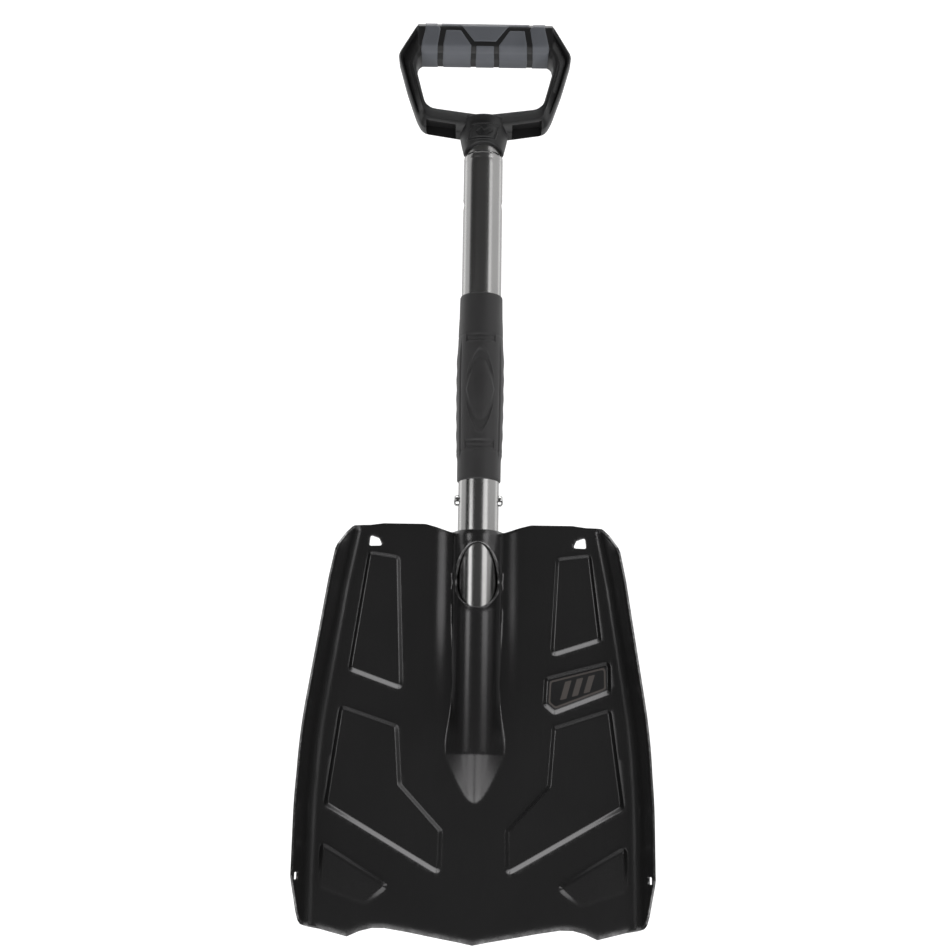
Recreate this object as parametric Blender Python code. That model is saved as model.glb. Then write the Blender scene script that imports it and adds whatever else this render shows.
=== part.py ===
"""Avalanche shovel: pressed blade, telescoping two-piece shaft and D-handle.

Frame: the origin is the lip of the blade, +Z runs up the shaft, -Y is the
side that the blade's flanges turn towards. Dimensions below are millimetres
and every mesh is written in metres.
"""
import math

import bmesh
import bpy
from mathutils import Vector
from mathutils.geometry import delaunay_2d_cdt

MM = 0.001

# shaft
AXIS_Y = 14.0            # shaft axis, behind the blade's lip
OUTER_R = 14.3
OUTER_WALL = 1.4
OUTER_Z = (152.0, 558.0)
INNER_R = 12.5
INNER_WALL = 1.3
INNER_Z = (258.0, 583.0)
TRAVEL = 220.5           # how far the handle pulls out
SNAP_Z = 299.5           # snap buttons of the telescope
SNAP_R = 3.9
SNAP_REACH = 17.5
LOCK_Z = 206.0           # button that holds the blade
GAP = 0.3

# blade
SHEET = 2.0
RIDGE_R = 16.85
NOSE_Z = (91.5, 124.0)
NOSE_DROP = 9.3
SHOULDER_X = 28.0
WING_BACK = 4.0          # the wings lie this far in front of the shaft axis at the top
FLANGE = 22.0
EMBOSS = 2.0
WALL = 3.2
SPAN_RIDGE = 40.0        # widths of the three bands of the flat layout
SPAN_WING = 76.0
SPAN_FLANGE = 27.0

# handle
NECK_Z = (559.5, 587.5)
BAR_TOP = 660.6
BAR_LOW = 634.0
PAD_SEAT = 1.3           # step in the top bar that the covers sit in
PAD = 1.0

# ---------------------------------------------------------------- helpers


def smooth(a, b, v):
    """0 below a, 1 above b and an S-curve between."""
    t = min(1.0, max(0.0, (v - a) / (b - a)))
    return t * t * (3.0 - 2.0 * t)


def lerp(a, b, t):
    return a + (b - a) * t


def new_material(name, colour, metallic, roughness):
    mat = bpy.data.materials.new(name)
    mat.use_nodes = True
    shader = mat.node_tree.nodes["Principled BSDF"]
    shader.inputs["Base Color"].default_value = (*colour, 1.0)
    shader.inputs["Metallic"].default_value = metallic
    shader.inputs["Roughness"].default_value = roughness
    return mat


def add_object(name, verts, faces, mat, origin=(0.0, 0.0, 0.0), angle=35.0):
    """A mesh object from millimetre points, its origin at the given point."""
    mesh = bpy.data.meshes.new(name)
    base = Vector(origin)
    points = [(Vector(v) - base) * MM for v in verts]
    mesh.from_pydata([tuple(p) for p in points], [], faces)
    mesh.validate()
    bm = bmesh.new()
    bm.from_mesh(mesh)
    bmesh.ops.remove_doubles(bm, verts=bm.verts, dist=1e-7)
    bmesh.ops.recalc_face_normals(bm, faces=bm.faces)
    bm.to_mesh(mesh)
    bm.free()
    mesh.materials.append(mat)
    mesh.shade_smooth()
    mesh.set_sharp_from_angle(angle=math.radians(angle))
    obj = bpy.data.objects.new(name, mesh)
    obj.location = base * MM
    bpy.context.scene.collection.objects.link(obj)
    return obj


def add_boolean(obj, cutter, operation="DIFFERENCE"):
    mod = obj.modifiers.new(operation.lower(), "BOOLEAN")
    mod.operation = operation
    mod.solver = "EXACT"
    mod.object = cutter
    cutter.hide_render = True
    cutter.display_type = "WIRE"


def rings_to_solid(rings, closed_loop=False):
    """Vertices and faces of a loft through equal-length rings, capped at both ends."""
    count = len(rings[0])
    verts = [p for ring in rings for p in ring]
    faces = []
    steps = len(rings) if closed_loop else len(rings) - 1
    for i in range(steps):
        j = (i + 1) % len(rings)
        for k in range(count):
            m = (k + 1) % count
            faces.append((i * count + k, i * count + m, j * count + m, j * count + k))
    if not closed_loop:
        faces.append(tuple(range(count))[::-1])
        faces.append(tuple((len(rings) - 1) * count + k for k in range(count)))
    return verts, faces


def circle(radius, z, count, centre=(0.0, AXIS_Y)):
    points = []
    for k in range(count):
        a = 2.0 * math.pi * k / count
        points.append((centre[0] + radius * math.cos(a), centre[1] + radius * math.sin(a), z))
    return points


def lathe(name, profile, mat, count=32, hollow=True):
    """A turned piece about the shaft axis; profile is (radius, z), closed if hollow."""
    rings = [circle(r, z, count) for r, z in profile]
    verts, faces = rings_to_solid(rings, closed_loop=hollow)
    return add_object(name, verts, faces, mat)


def rod(name, start, end, radius, mat, count=20, dome=0.0, origin=None):
    """A round bar between two points, with an optional domed far end."""
    a = Vector(start)
    b = Vector(end)
    axis = (b - a).normalized()
    side = axis.cross(Vector((0.0, 0.0, 1.0)))
    if side.length < 0.1:
        side = axis.cross(Vector((0.0, 1.0, 0.0)))
    side.normalize()
    up = axis.cross(side)
    stops = [(a, radius)]
    if dome > 0.0:
        for step in range(4):
            t = math.radians(24.0 * step)
            stops.append((b - axis * dome * (1.0 - math.sin(t)), radius * math.cos(t)))
    else:
        stops.append((b, radius))
    rings = []
    for centre, r in stops:
        ring = []
        for k in range(count):
            ang = 2.0 * math.pi * k / count
            ring.append(centre + side * (r * math.cos(ang)) + up * (r * math.sin(ang)))
        rings.append(ring)
    verts, faces = rings_to_solid(rings)
    return add_object(name, verts, faces, mat, origin=origin or (0.0, 0.0, 0.0))


def prism_y(name, outline, y0, y1, mat):
    """A plate: an outline in X and Z, extruded from y0 to y1."""
    rings = [[(x, y0, z) for x, z in outline], [(x, y1, z) for x, z in outline]]
    verts, faces = rings_to_solid(rings)
    return add_object(name, verts, faces, mat)


# ------------------------------------------------------------ blade surface


def wing_y(z):
    """Front face of the wings: nearly upright at the top, curving forward to the lip."""
    return AXIS_Y - WING_BACK - (AXIS_Y - WING_BACK) * max(0.0, 1.0 - z / 280.0) ** 2.6


def flange_shape(z):
    """Bend radius and bend angle of the flange at height z."""
    t = min(1.0, max(0.0, (z - 110.0) / 130.0))
    return lerp(12.5, 8.5, t), math.radians(lerp(72.0, 60.0, t))


def crease_x(z):
    """Where the wing starts to turn up into the flange."""
    below = 160.0 - z
    foot = 105.2 + 0.194 * below
    if below > 0.0:
        foot -= 0.194 * min(below, 80.0) ** 2 / 160.0 + 0.194 * max(0.0, below - 80.0)
    radius, angle = flange_shape(z)
    return foot - radius * math.sin(angle)


def socket_y(x, z):
    """Front face between the shoulders: the socket ridge and the troughs beside it."""
    wing = wing_y(z)
    share = 0.35 * smooth(112.0, 140.0, z) + 0.65 * smooth(180.0, 235.0, z)
    depth = (AXIS_Y - 0.5 - wing) * share
    floor = wing + depth * (1.0 - smooth(19.5, SHOULDER_X, abs(x)))
    drop = 0.0
    if z < NOSE_Z[1]:
        drop = NOSE_DROP * ((NOSE_Z[1] - z) / (NOSE_Z[1] - NOSE_Z[0])) ** 1.25
    turn = lerp(0.7, 0.965, smooth(150.0, 215.0, z)) * RIDGE_R
    edge = math.sqrt(RIDGE_R ** 2 - turn ** 2)
    if abs(x) < turn:
        ridge = AXIS_Y + drop - math.sqrt(RIDGE_R ** 2 - x * x)
    else:
        ridge = AXIS_Y + drop - edge + (abs(x) - turn) * turn / edge
    soft = 4.0
    blend = max(soft - abs(ridge - floor), 0.0) / soft
    return min(ridge, floor) - blend * blend * soft / 4.0


RIDGE_TABLE = []


def ridge_layout():
    """Half widths of the ridge band against their developed length, at the collar."""
    total = 0.0
    table = [(0.0, 0.0)]
    steps = 140
    for i in range(1, steps + 1):
        x0 = SHOULDER_X * (i - 1) / steps
        x1 = SHOULDER_X * i / steps
        total += math.hypot(x1 - x0, socket_y(x1, 240.0) - socket_y(x0, 240.0))
        table.append((total, x1))
    return [(q * SPAN_RIDGE / total, x) for q, x in table]


def ridge_x(q):
    """Half width at layout position q inside the ridge band."""
    if not RIDGE_TABLE:
        RIDGE_TABLE.extend(ridge_layout())
    low = 0
    high = len(RIDGE_TABLE) - 1
    while high - low > 1:
        mid = (low + high) // 2
        if RIDGE_TABLE[mid][0] <= q:
            low = mid
        else:
            high = mid
    q0, x0 = RIDGE_TABLE[low]
    q1, x1 = RIDGE_TABLE[high]
    return lerp(x0, x1, (q - q0) / (q1 - q0))


def face_point(q, z):
    """A point of the blade's front face from its flat layout position."""
    side = -1.0 if q < 0.0 else 1.0
    q = abs(q)
    if q <= SPAN_RIDGE:
        x = ridge_x(q)
        return Vector((side * x, socket_y(x, z), z))
    if q <= SPAN_RIDGE + SPAN_WING:
        x = lerp(SHOULDER_X, crease_x(z), (q - SPAN_RIDGE) / SPAN_WING)
        return Vector((side * x, wing_y(z), z))
    radius, angle = flange_shape(z)
    straight = (FLANGE - radius * (1.0 - math.cos(angle))) / math.sin(angle)
    run = (q - SPAN_RIDGE - SPAN_WING) / SPAN_FLANGE * (radius * angle + straight)
    turn = min(angle, run / radius)
    rest = max(0.0, run - radius * angle)
    x = crease_x(z) + radius * math.sin(turn) + rest * math.cos(angle)
    y = wing_y(z) - radius * (1.0 - math.cos(turn)) - rest * math.sin(angle)
    return Vector((side * x, y, z))


def wing_q(x, z):
    """Layout position of a wing point."""
    side = -1.0 if x < 0.0 else 1.0
    t = (abs(x) - SHOULDER_X) / (crease_x(z) - SHOULDER_X)
    return side * (SPAN_RIDGE + SPAN_WING * t)


def ridge_q(x):
    """Layout position of a point inside the ridge band."""
    ridge_x(0.0)
    side = -1.0 if x < 0.0 else 1.0
    for (q0, x0), (q1, x1) in zip(RIDGE_TABLE, RIDGE_TABLE[1:]):
        if x1 >= abs(x):
            return side * lerp(q0, q1, (abs(x) - x0) / (x1 - x0))
    return side * SPAN_RIDGE


def layout_q(x, z):
    return ridge_q(x) if abs(x) < SHOULDER_X else wing_q(x, z)


def face_normal(q, z):
    """Unit normal of the front face, pointing forward."""
    step = 0.4
    along = face_point(q + step, z) - face_point(q - step, z)
    up = face_point(q, z + step) - face_point(q, z - step)
    return along.cross(up).normalized()


# ------------------------------------------------------------- blade layout

RIM_Q = SPAN_RIDGE + SPAN_WING + SPAN_FLANGE
LIP = [(0.0, 0.0), (10.0, 2.0), (25.0, 4.6), (43.5, 8.0), (58.0, 10.2), (66.5, 10.1),
       (74.5, 8.1), (82.5, 4.6), (101.0, 9.2)]
CREST = [(0.0, 276.7), (18.5, 276.7), (29.0, 279.9), (37.0, 282.0), (66.0, 282.0),
         (75.5, 280.7)]
UPPER_LEFT = [(-76.0, 262.5), (-54.2, 259.2), (-49.7, 165.6), (-87.8, 179.1)]
UPPER_RIGHT = [(54.8, 259.2), (78.9, 262.2), (86.2, 201.2), (51.0, 189.7)]
LOWER = [(92.5, 156.0), (52.4, 142.8), (49.3, 103.5), (21.0, 73.6), (21.5, 43.5), (101.0, 88.8)]
CORNER = [(102.5, 66.0), (54.6, 37.2), (71.4, 23.3), (103.0, 34.0)]
EMBLEM = [(47.0, 176.4), (92.3, 188.4), (92.6, 166.0), (53.6, 150.8), (46.0, 157.2)]
LASH = [(68.9, 271.4), (75.0, 273.6), (75.8, 265.9), (66.6, 266.2)]


def mirrored(points):
    return [(-x, z) for x, z in reversed(points)]


def inset(points, distance):
    """An outline moved inwards by a distance, corner by corner."""
    area = 0.0
    count = len(points)
    for i in range(count):
        x0, z0 = points[i]
        x1, z1 = points[(i + 1) % count]
        area += x0 * z1 - x1 * z0
    sign = 1.0 if area > 0.0 else -1.0
    result = []
    for i in range(count):
        p0 = Vector(points[i - 1])
        p1 = Vector(points[i])
        p2 = Vector(points[(i + 1) % count])
        d0 = (p1 - p0).normalized()
        d1 = (p2 - p1).normalized()
        n0 = Vector((-d0.y, d0.x)) * sign
        n1 = Vector((-d1.y, d1.x)) * sign
        corner = (n0 + n1) / (1.0 + n0.dot(n1))
        result.append(tuple(p1 + corner * distance))
    return result


def refine(points, spacing, closed=True):
    """The same outline with extra points so that no edge is longer than spacing."""
    result = []
    count = len(points) if closed else len(points) - 1
    for i in range(count):
        a = Vector(points[i])
        b = Vector(points[(i + 1) % len(points)])
        parts = max(1, math.ceil((b - a).length / spacing))
        for k in range(parts):
            result.append(tuple(a.lerp(b, k / parts)))
    if not closed:
        result.append(tuple(points[-1]))
    return result


def blade_outline():
    """Outer edge of the sheet in layout coordinates."""
    right = [(layout_q(x, z), z) for x, z in refine(LIP, 14.0, closed=False)]
    bend = SPAN_RIDGE + SPAN_WING
    right += [(bend + 4.5, 10.6), (bend + 9.0, 12.2), (bend + 13.0, 15.2), (bend + 17.0, 21.0)]
    right += [(bend + 21.5, 31.0), (RIM_Q - 1.5, 39.5), (RIM_Q, 44.0)]
    right += [(RIM_Q, z) for z in (66.0, 90.0, 114.0, 138.0, 162.0, 186.0, 210.0, 234.0)]
    right += [(RIM_Q, 257.0), (RIM_Q - 2.0, 261.0), (bend + 17.0, 271.0), (bend + 10.0, 279.3)]
    right += [(bend + 5.0, 280.2)]
    fine = refine(CREST[:3], 3.4, closed=False)[:-1] + refine(CREST[2:], 14.0, closed=False)
    crest = [(layout_q(x, z), z) for x, z in fine]
    right += crest[::-1]
    left = [(-q, z) for q, z in right if abs(q) > 1e-6]
    return right + left[::-1]


def teardrop():
    """The opening in the front of the socket, through which the shaft shows."""
    points = []
    for k in range(20):
        a = 2.0 * math.pi * k / 20
        up = math.cos(a)
        x = 16.0 * math.sin(a)
        z = 241.0 + (28.0 * up if up > 0.0 else 19.5 * up)
        points.append((ridge_q(x) if abs(x) > 1e-6 else 0.0, z))
    return points


def panel_outlines():
    panels = [UPPER_LEFT, UPPER_RIGHT, LOWER, mirrored(LOWER), CORNER, mirrored(CORNER), EMBLEM]
    return panels


def to_layout(points):
    return [(layout_q(x, z), z) for x, z in points]


def inside(point, loop):
    """Even-odd test of a point in a closed outline."""
    x, z = point
    hit = False
    for i in range(len(loop)):
        x0, z0 = loop[i - 1]
        x1, z1 = loop[i]
        if (z0 > z) != (z1 > z) and x < (x1 - x0) * (z - z0) / (z1 - z0) + x0:
            hit = not hit
    return hit


def edge_distance(point, loop):
    p = Vector(point)
    best = 1e9
    for i in range(len(loop)):
        a = Vector(loop[i - 1])
        b = Vector(loop[i])
        d = b - a
        t = min(1.0, max(0.0, (p - a).dot(d) / max(d.dot(d), 1e-9)))
        best = min(best, (p - a - d * t).length)
    return best


def slot_loop(side):
    """Small slot through the flange, for a strap."""
    q = SPAN_RIDGE + SPAN_WING + 21.0
    points = [(q - 3.0, 41.2), (q + 3.0, 41.2), (q + 3.0, 46.0), (q - 3.0, 46.0)]
    return [(side * a, z) for a, z in points]


def grid_points():
    """Free points of the layout, denser across the ridge and the flange bend."""
    ridge = [0.0, 4.5, 9.0, 13.5, 17.5, 20.5, 23.5, 26.5, 30.0, 34.5, SPAN_RIDGE]
    wing = [SPAN_RIDGE + SPAN_WING * t for t in (0.25, 0.5, 0.75, 1.0)]
    flange = [SPAN_RIDGE + SPAN_WING + t for t in (4.0, 8.5, 13.0, 20.0)]
    stations = ridge + wing + flange
    stations += [-q for q in stations if q > 0.0]
    levels = [10.0 + 13.6 * k for k in range(20)]
    extra = [95.0, 100.0, 112.0, 118.0]
    points = [(q, z) for q in stations for z in levels]
    points += [(q, z) for q in stations for z in extra if abs(q) < SPAN_RIDGE]
    return points


def build_blade(mat):
    """The pressed sheet: a layout triangulated flat, then folded and thickened."""
    outline = blade_outline()
    holes = [teardrop(), to_layout(LASH), to_layout(mirrored(LASH)), slot_loop(1.0), slot_loop(-1.0)]
    loops = [outline] + holes
    tops = []
    for panel in panel_outlines():
        loops.append(to_layout(refine(panel, 22.0)))
        top = to_layout(refine(inset(panel, WALL), 22.0))
        loops.append(top)
        tops.append(top)
    verts = []
    edges = []
    for loop in loops:
        base = len(verts)
        verts += loop
        edges += [(base + i, base + (i + 1) % len(loop)) for i in range(len(loop))]
    for point in grid_points():
        if not inside(point, outline) or any(inside(point, hole) for hole in holes):
            continue
        if min(edge_distance(point, loop) for loop in loops) < 2.6:
            continue
        verts.append(point)
    flat = [Vector(v) for v in verts]
    points, _, tris, _, _, _ = delaunay_2d_cdt(flat, edges, [], 1, 1e-5)
    keep = []
    for tri in tris:
        mid = sum((points[i] for i in tri), Vector((0.0, 0.0))) / len(tri)
        if inside(mid, outline) and not any(inside(mid, hole) for hole in holes):
            keep.append(tuple(tri))
    return thicken("blade", points, keep, tops, mat)


def thicken(name, points, tris, tops, mat):
    """Fold the flat layout, press the panels forward and give the sheet its thickness."""
    used = sorted({i for tri in tris for i in tri})
    index = {v: k for k, v in enumerate(used)}
    front = []
    back = []
    for i in used:
        q, z = points[i]
        normal = face_normal(q, z)
        place = face_point(q, z)
        if any(inside((q, z), top) or edge_distance((q, z), top) < 0.01 for top in tops):
            place = place + normal * EMBOSS
        front.append(place)
        back.append(place - normal * SHEET)
    count = len(used)
    faces = [tuple(index[i] for i in tri) for tri in tris]
    seen = {}
    for tri in faces:
        for a, b in zip(tri, tri[1:] + tri[:1]):
            seen[(a, b)] = seen.get((a, b), 0) + 1
    solid = list(faces)
    solid += [tuple(count + i for i in reversed(tri)) for tri in faces]
    for a, b in seen:
        if (b, a) not in seen:
            solid.append((b, a, count + a, count + b))
    return add_object(name, front + back, solid, mat, angle=28.0)


def build_channel(mat, bead_mat):
    """Rear half of the socket, a formed strip welded behind the ridge."""
    inner = OUTER_R + GAP
    outer = inner + 1.6
    levels = [148.0 + 114.0 * k / 8.0 for k in range(9)]
    rings = []
    beads = {-1.0: [], 1.0: []}
    for z in levels:
        lip = max(socket_y(x, z) for x in (17.6, 19.0, 21.0, 23.4)) + SHEET + 0.6
        edge = []
        edge.append((20.6, lip))
        edge.append((outer + 0.9, lip))
        edge.append((inner, min(lip + 1.2, AXIS_Y + 1.2)))
        arc = [math.radians(8.0 + (90.0 - 8.0) * k / 7.0) for k in range(8)]
        edge += [(inner * math.cos(a), AXIS_Y + inner * math.sin(a)) for a in arc]
        back = [(outer * math.cos(a), AXIS_Y + outer * math.sin(a)) for a in reversed(arc)]
        back.append((outer + 0.3, min(lip + 2.4, AXIS_Y + 2.2)))
        back.append((20.6, lip + 1.6))
        half = edge[:-1] + [edge[-1]]
        ring = [(x, y, z) for x, y in half]
        ring += [(-x, y, z) for x, y in half[:-1][::-1]]
        ring += [(-x, y, z) for x, y in back[1:][::-1]]
        ring += [(x, y, z) for x, y in back]
        rings.append(ring)
        for side in beads:
            beads[side].append([(side * 21.0, lip + 0.1, z), (side * 23.4, lip + 0.2, z),
                                (side * 21.0, lip + 1.5, z)])
    verts, faces = rings_to_solid(rings)
    channel = add_object("rear_channel", verts, faces, mat)
    for side, label in ((-1.0, "left"), (1.0, "right")):
        verts, faces = rings_to_solid(beads[side][1:-1])
        add_object("weld_bead_" + label, verts, faces, bead_mat)
    return channel


# -------------------------------------------------------------------- shaft


def build_outer_tube(mat):
    r = OUTER_R
    inner = r - OUTER_WALL
    z0, z1 = OUTER_Z
    profile = [(r, z0), (r, z1 - 6.5), (r - 0.25, z1 - 3.2), (r - 0.75, z1 - 1.2), (r - 1.1, z1),
               (inner, z1), (inner, z0)]
    tube = lathe("outer_tube", profile, mat, count=40)
    for z in (SNAP_Z, SNAP_Z + TRAVEL):
        hole = rod("cut_snap", (-20.0, AXIS_Y, z), (20.0, AXIS_Y, z), SNAP_R + 0.35, mat, count=20)
        add_boolean(tube, hole)
    hole = rod("cut_lock_tube", (0.0, AXIS_Y + 2.0, LOCK_Z), (0.0, AXIS_Y + 22.0, LOCK_Z),
               SNAP_R + 0.35, mat, count=20)
    add_boolean(tube, hole)
    return tube


def build_inner_tube(mat):
    r = INNER_R
    inner = r - INNER_WALL
    profile = [(r, INNER_Z[0]), (r, INNER_Z[1]), (inner, INNER_Z[1]), (inner, INNER_Z[0])]
    tube = lathe("inner_tube", profile, mat, count=36)
    hole = rod("cut_snap_inner", (-16.0, AXIS_Y, SNAP_Z), (16.0, AXIS_Y, SNAP_Z),
               SNAP_R + 0.35, mat, count=20)
    add_boolean(tube, hole)
    hole = rod("cut_pin_inner", (0.0, AXIS_Y + 4.0, 576.0), (0.0, AXIS_Y + 22.0, 576.0),
               2.0 + GAP, mat, count=16)
    add_boolean(tube, hole)
    return tube


def build_grip(mat):
    """Rubber sleeve: plain ends and a swell between them."""
    inner = OUTER_R + GAP
    rows = [(15.2, 313.0), (15.5, 315.0), (15.6, 334.0), (16.3, 345.0), (16.8, 368.0), (17.0, 388.0),
            (16.8, 408.0), (16.1, 426.0), (15.5, 434.0), (15.5, 447.0), (15.2, 449.0)]
    profile = rows + [(inner, 449.0), (inner, 313.0)]
    return lathe("grip_sleeve", profile, mat, count=36)


def build_plugs(mat):
    """Moulded plugs: one closes the shaft's lower end, one guides the inner tube."""
    bore = OUTER_R - OUTER_WALL
    z = OUTER_Z[0]
    profile = [(OUTER_R, z - 3.0), (OUTER_R, z - GAP), (bore - GAP, z - GAP), (bore - GAP, z + 8.0)]
    lathe("shaft_end_plug", profile, mat, count=32, hollow=False)
    bore = INNER_R - INNER_WALL
    z = INNER_Z[0]
    profile = [(INNER_R, z - 3.0), (INNER_R, z - GAP), (bore - GAP, z - GAP), (bore - GAP, z + 6.0)]
    lathe("inner_tube_plug", profile, mat, count=32, hollow=False)


def strip(name, path, width, thick, mat, across):
    """A bent spring strip: a path of points, with its width along one axis."""
    wide = Vector(across) * (width / 2.0)
    rings = []
    for i, point in enumerate(path):
        p = Vector(point)
        before = Vector(path[max(0, i - 1)])
        after = Vector(path[min(len(path) - 1, i + 1)])
        out = (after - before).normalized().cross(Vector(across)) * (thick / 2.0)
        rings.append([p - wide - out, p + wide - out, p + wide + out, p - wide + out])
    verts, faces = rings_to_solid(rings)
    return add_object(name, verts, faces, mat)


def build_springs(mat):
    """Bent strips that press the snap buttons out."""
    arm = []
    for x, z in ((8.2, SNAP_Z + 6.0), (7.9, SNAP_Z - 6.0), (5.8, 280.0), (3.6, 270.0), (1.8, 266.6)):
        arm.append((x, AXIS_Y, z))
    path = arm + [(0.0, AXIS_Y, 265.8)] + [(-x, y, z) for x, y, z in reversed(arm)]
    strip("telescope_spring", path, 6.0, 0.7, mat, (0.0, 1.0, 0.0))
    path = []
    for y, z in ((8.8, LOCK_Z + 6.0), (8.5, LOCK_Z - 6.0), (6.2, 186.0), (2.0, 172.0), (-4.0, 166.5),
                 (-9.5, 172.0), (-11.0, 188.0), (-11.4, 202.0)):
        path.append((0.0, AXIS_Y + y, z))
    strip("blade_lock_spring", path, 6.0, 0.7, mat, (1.0, 0.0, 0.0))


def build_buttons(mat):
    """Domed snap buttons, each with its origin on its own line of travel."""
    for side, label in ((-1.0, "left"), (1.0, "right")):
        base = (side * 8.9, AXIS_Y, SNAP_Z)
        tip = (side * SNAP_REACH, AXIS_Y, SNAP_Z)
        rod("telescope_button_" + label, base, tip, SNAP_R, mat, dome=2.2, origin=base)
    base = (0.0, AXIS_Y + 9.5, LOCK_Z)
    rod("blade_lock_button", base, (0.0, AXIS_Y + 18.8, LOCK_Z), SNAP_R, mat, dome=1.8, origin=base)


# ------------------------------------------------------------------- handle

# outer x, outer z, inner x, inner z, depth at the opening, depth of the front face, depth outside
D_STATIONS = [
    (0.0, 660.6, 0.0, 634.0, 10.5, 13.0, 11.0),
    (30.0, 660.6, 30.0, 634.0, 10.5, 13.0, 11.0),
    (49.5, 660.1, 45.5, 634.0, 10.5, 13.0, 9.0),
    (59.0, 646.5, 50.0, 631.5, 10.0, 13.0, 6.0),
    (65.0, 636.5, 51.2, 625.5, 9.0, 12.5, 4.0),
    (57.5, 609.0, 47.2, 610.0, 8.5, 11.5, 4.0),
    (49.5, 584.5, 43.6, 597.0, 8.5, 12.0, 5.0),
    (45.3, 578.6, 39.0, 593.5, 8.5, 12.5, 8.0),
    (17.0, 574.5, 17.0, 590.5, 8.5, 12.5, 9.0),
    (0.0, 574.0, 0.0, 588.3, 8.5, 12.5, 9.0),
]


def d_section(station, shrink=0.0):
    """Eight-sided section of the D at one station, from its opening to its outside."""
    ox, oz, ix, iz, near, front, far = station
    outer = Vector((ox, oz))
    inner = Vector((ix, iz))
    along = (outer - inner).normalized()
    size = (outer - inner).length
    outer = outer - along * shrink
    inner = inner + along * shrink
    cut = max(1.0, 0.16 * size)
    spots = [(inner, near - shrink), (inner + along * cut, front - shrink),
             (outer - along * cut, (front if oz > 640.0 else far + 3.0) - shrink),
             (outer, far - shrink)]
    ring = [(p.x, AXIS_Y - depth, p.y) for p, depth in spots]
    ring += [(p.x, AXIS_Y + depth, p.y) for p, depth in reversed(spots)]
    return ring


def mirror_ring(ring):
    return [(-x, y, z) for x, y, z in ring]


def build_handle(mat):
    """D-frame and tapered neck in one moulding, with pockets under the lower bar."""
    covered = D_STATIONS[:2] + [(46.5, BAR_TOP, 46.5, BAR_LOW, 10.5, 13.0, 10.0)]
    half = [d_section(station, shrink=PAD_SEAT) for station in covered]
    half.append(d_section((48.6, BAR_TOP - 0.2, 47.0, BAR_LOW, 10.5, 13.0, 9.6)))
    half.append(d_section((51.0, BAR_TOP - 0.5, 48.2, BAR_LOW, 10.5, 13.0, 9.0)))
    half += [d_section(station) for station in D_STATIONS[3:]]
    rings = half + [mirror_ring(r) for r in half[1:-1]][::-1]
    verts, faces = rings_to_solid(rings, closed_loop=True)
    frame = add_object("handle_frame", verts, faces, mat)
    rows = [(14.5, NECK_Z[1]), (17.2, NECK_Z[1] - 3.5), (18.0, 576.0), (17.0, 569.0),
            (14.9, 562.0), (14.3, NECK_Z[0])]
    rings = [circle(r, z, 32) for r, z in reversed(rows)]
    verts, faces = rings_to_solid(rings)
    neck = add_object("cut_neck", verts, faces, mat)
    add_boolean(frame, neck, "UNION")
    bore = rod("cut_bore", (0.0, AXIS_Y, 550.0), (0.0, AXIS_Y, INNER_Z[1] + GAP), INNER_R + GAP,
               mat, count=36)
    add_boolean(frame, bore)
    pin = rod("cut_pin", (0.0, AXIS_Y + 4.0, 576.0), (0.0, AXIS_Y + 30.0, 576.0), 2.0 + GAP,
              mat, count=16)
    add_boolean(frame, pin)
    for side in (-1.0, 1.0):
        outline = [(21.5, 570.0), (42.0, 571.5), (41.0, 584.4), (21.5, 582.7)]
        points = [(side * x, z) for x, z in outline]
        pocket = prism_y("cut_pocket", points if side > 0 else points[::-1],
                         AXIS_Y - 30.0, AXIS_Y - 3.0, mat)
        add_boolean(frame, pocket)
    return frame


def pad_profile(thick):
    """Section of the top bar's cover, open at the top, as outer and inner lines."""
    line = []
    for offset in (0.0, thick):
        top = BAR_TOP - 0.6
        low = BAR_LOW + offset
        cut = 4.0
        line.append([(-(13.0 - offset), top), (-(13.0 - offset), low + cut),
                     (-(10.5 - offset), low), (10.5 - offset, low),
                     (13.0 - offset, low + cut), (13.0 - offset, top)])
    return line


def wrap_pad(name, x0, x1, mat, notch=0.0):
    """One cover piece: front, underside and back of the top bar between two stations."""
    outer, inner = pad_profile(PAD)
    section = outer + inner[::-1]
    rings = []
    for x, lean in ((x0, -notch), (x1, notch)):
        ring = []
        for y, z in section:
            shift = lean * smooth(644.0, 660.0, z)
            ring.append((x - shift if x0 < 0.0 else x + shift, AXIS_Y + y, z))
        rings.append(ring)
    verts, faces = rings_to_solid(rings)
    return add_object(name, verts, faces, mat)


def build_pads(mat):
    """Grip covers on the top bar, parted by grooves."""
    for side, label in ((-1.0, "left"), (1.0, "right")):
        a, b = sorted((side * 34.8, side * 46.2))
        wrap_pad("pad_outer_" + label, a, b, mat)
        inner_pad(side, label, mat)
    outline = [(-15.5, 659.5), (-7.4, 650.0), (7.4, 650.0), (15.5, 659.5)]
    prism_y("pad_centre_top", outline, AXIS_Y - 13.0, AXIS_Y - 13.0 + PAD, mat)
    outer, inner = pad_profile(PAD)
    low = [(y, min(z, 646.5)) for y, z in outer]
    high = [(y, min(z, 646.5)) for y, z in inner]
    section = low + high[::-1]
    rings = [[(x, AXIS_Y + y, z) for y, z in section] for x in (-6.4, 6.4)]
    verts, faces = rings_to_solid(rings)
    add_object("pad_centre_low", verts, faces, mat)


def inner_pad(side, label, mat):
    """The cover beside the centre, its inner corner cut back at the top."""
    outer, inner = pad_profile(PAD)
    outer = with_level(outer, 646.5)
    inner = with_level(inner, 646.5)
    section = outer + inner[::-1]
    near = [(10.0 if z < 647.0 else 18.0, y, z) for y, z in section]
    far = [(31.6, y, z) for y, z in section]
    rings = [[(side * x, AXIS_Y + y, z) for x, y, z in ring] for ring in (near, far)]
    verts, faces = rings_to_solid(rings)
    return add_object("pad_inner_" + label, verts, faces, mat)


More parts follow.
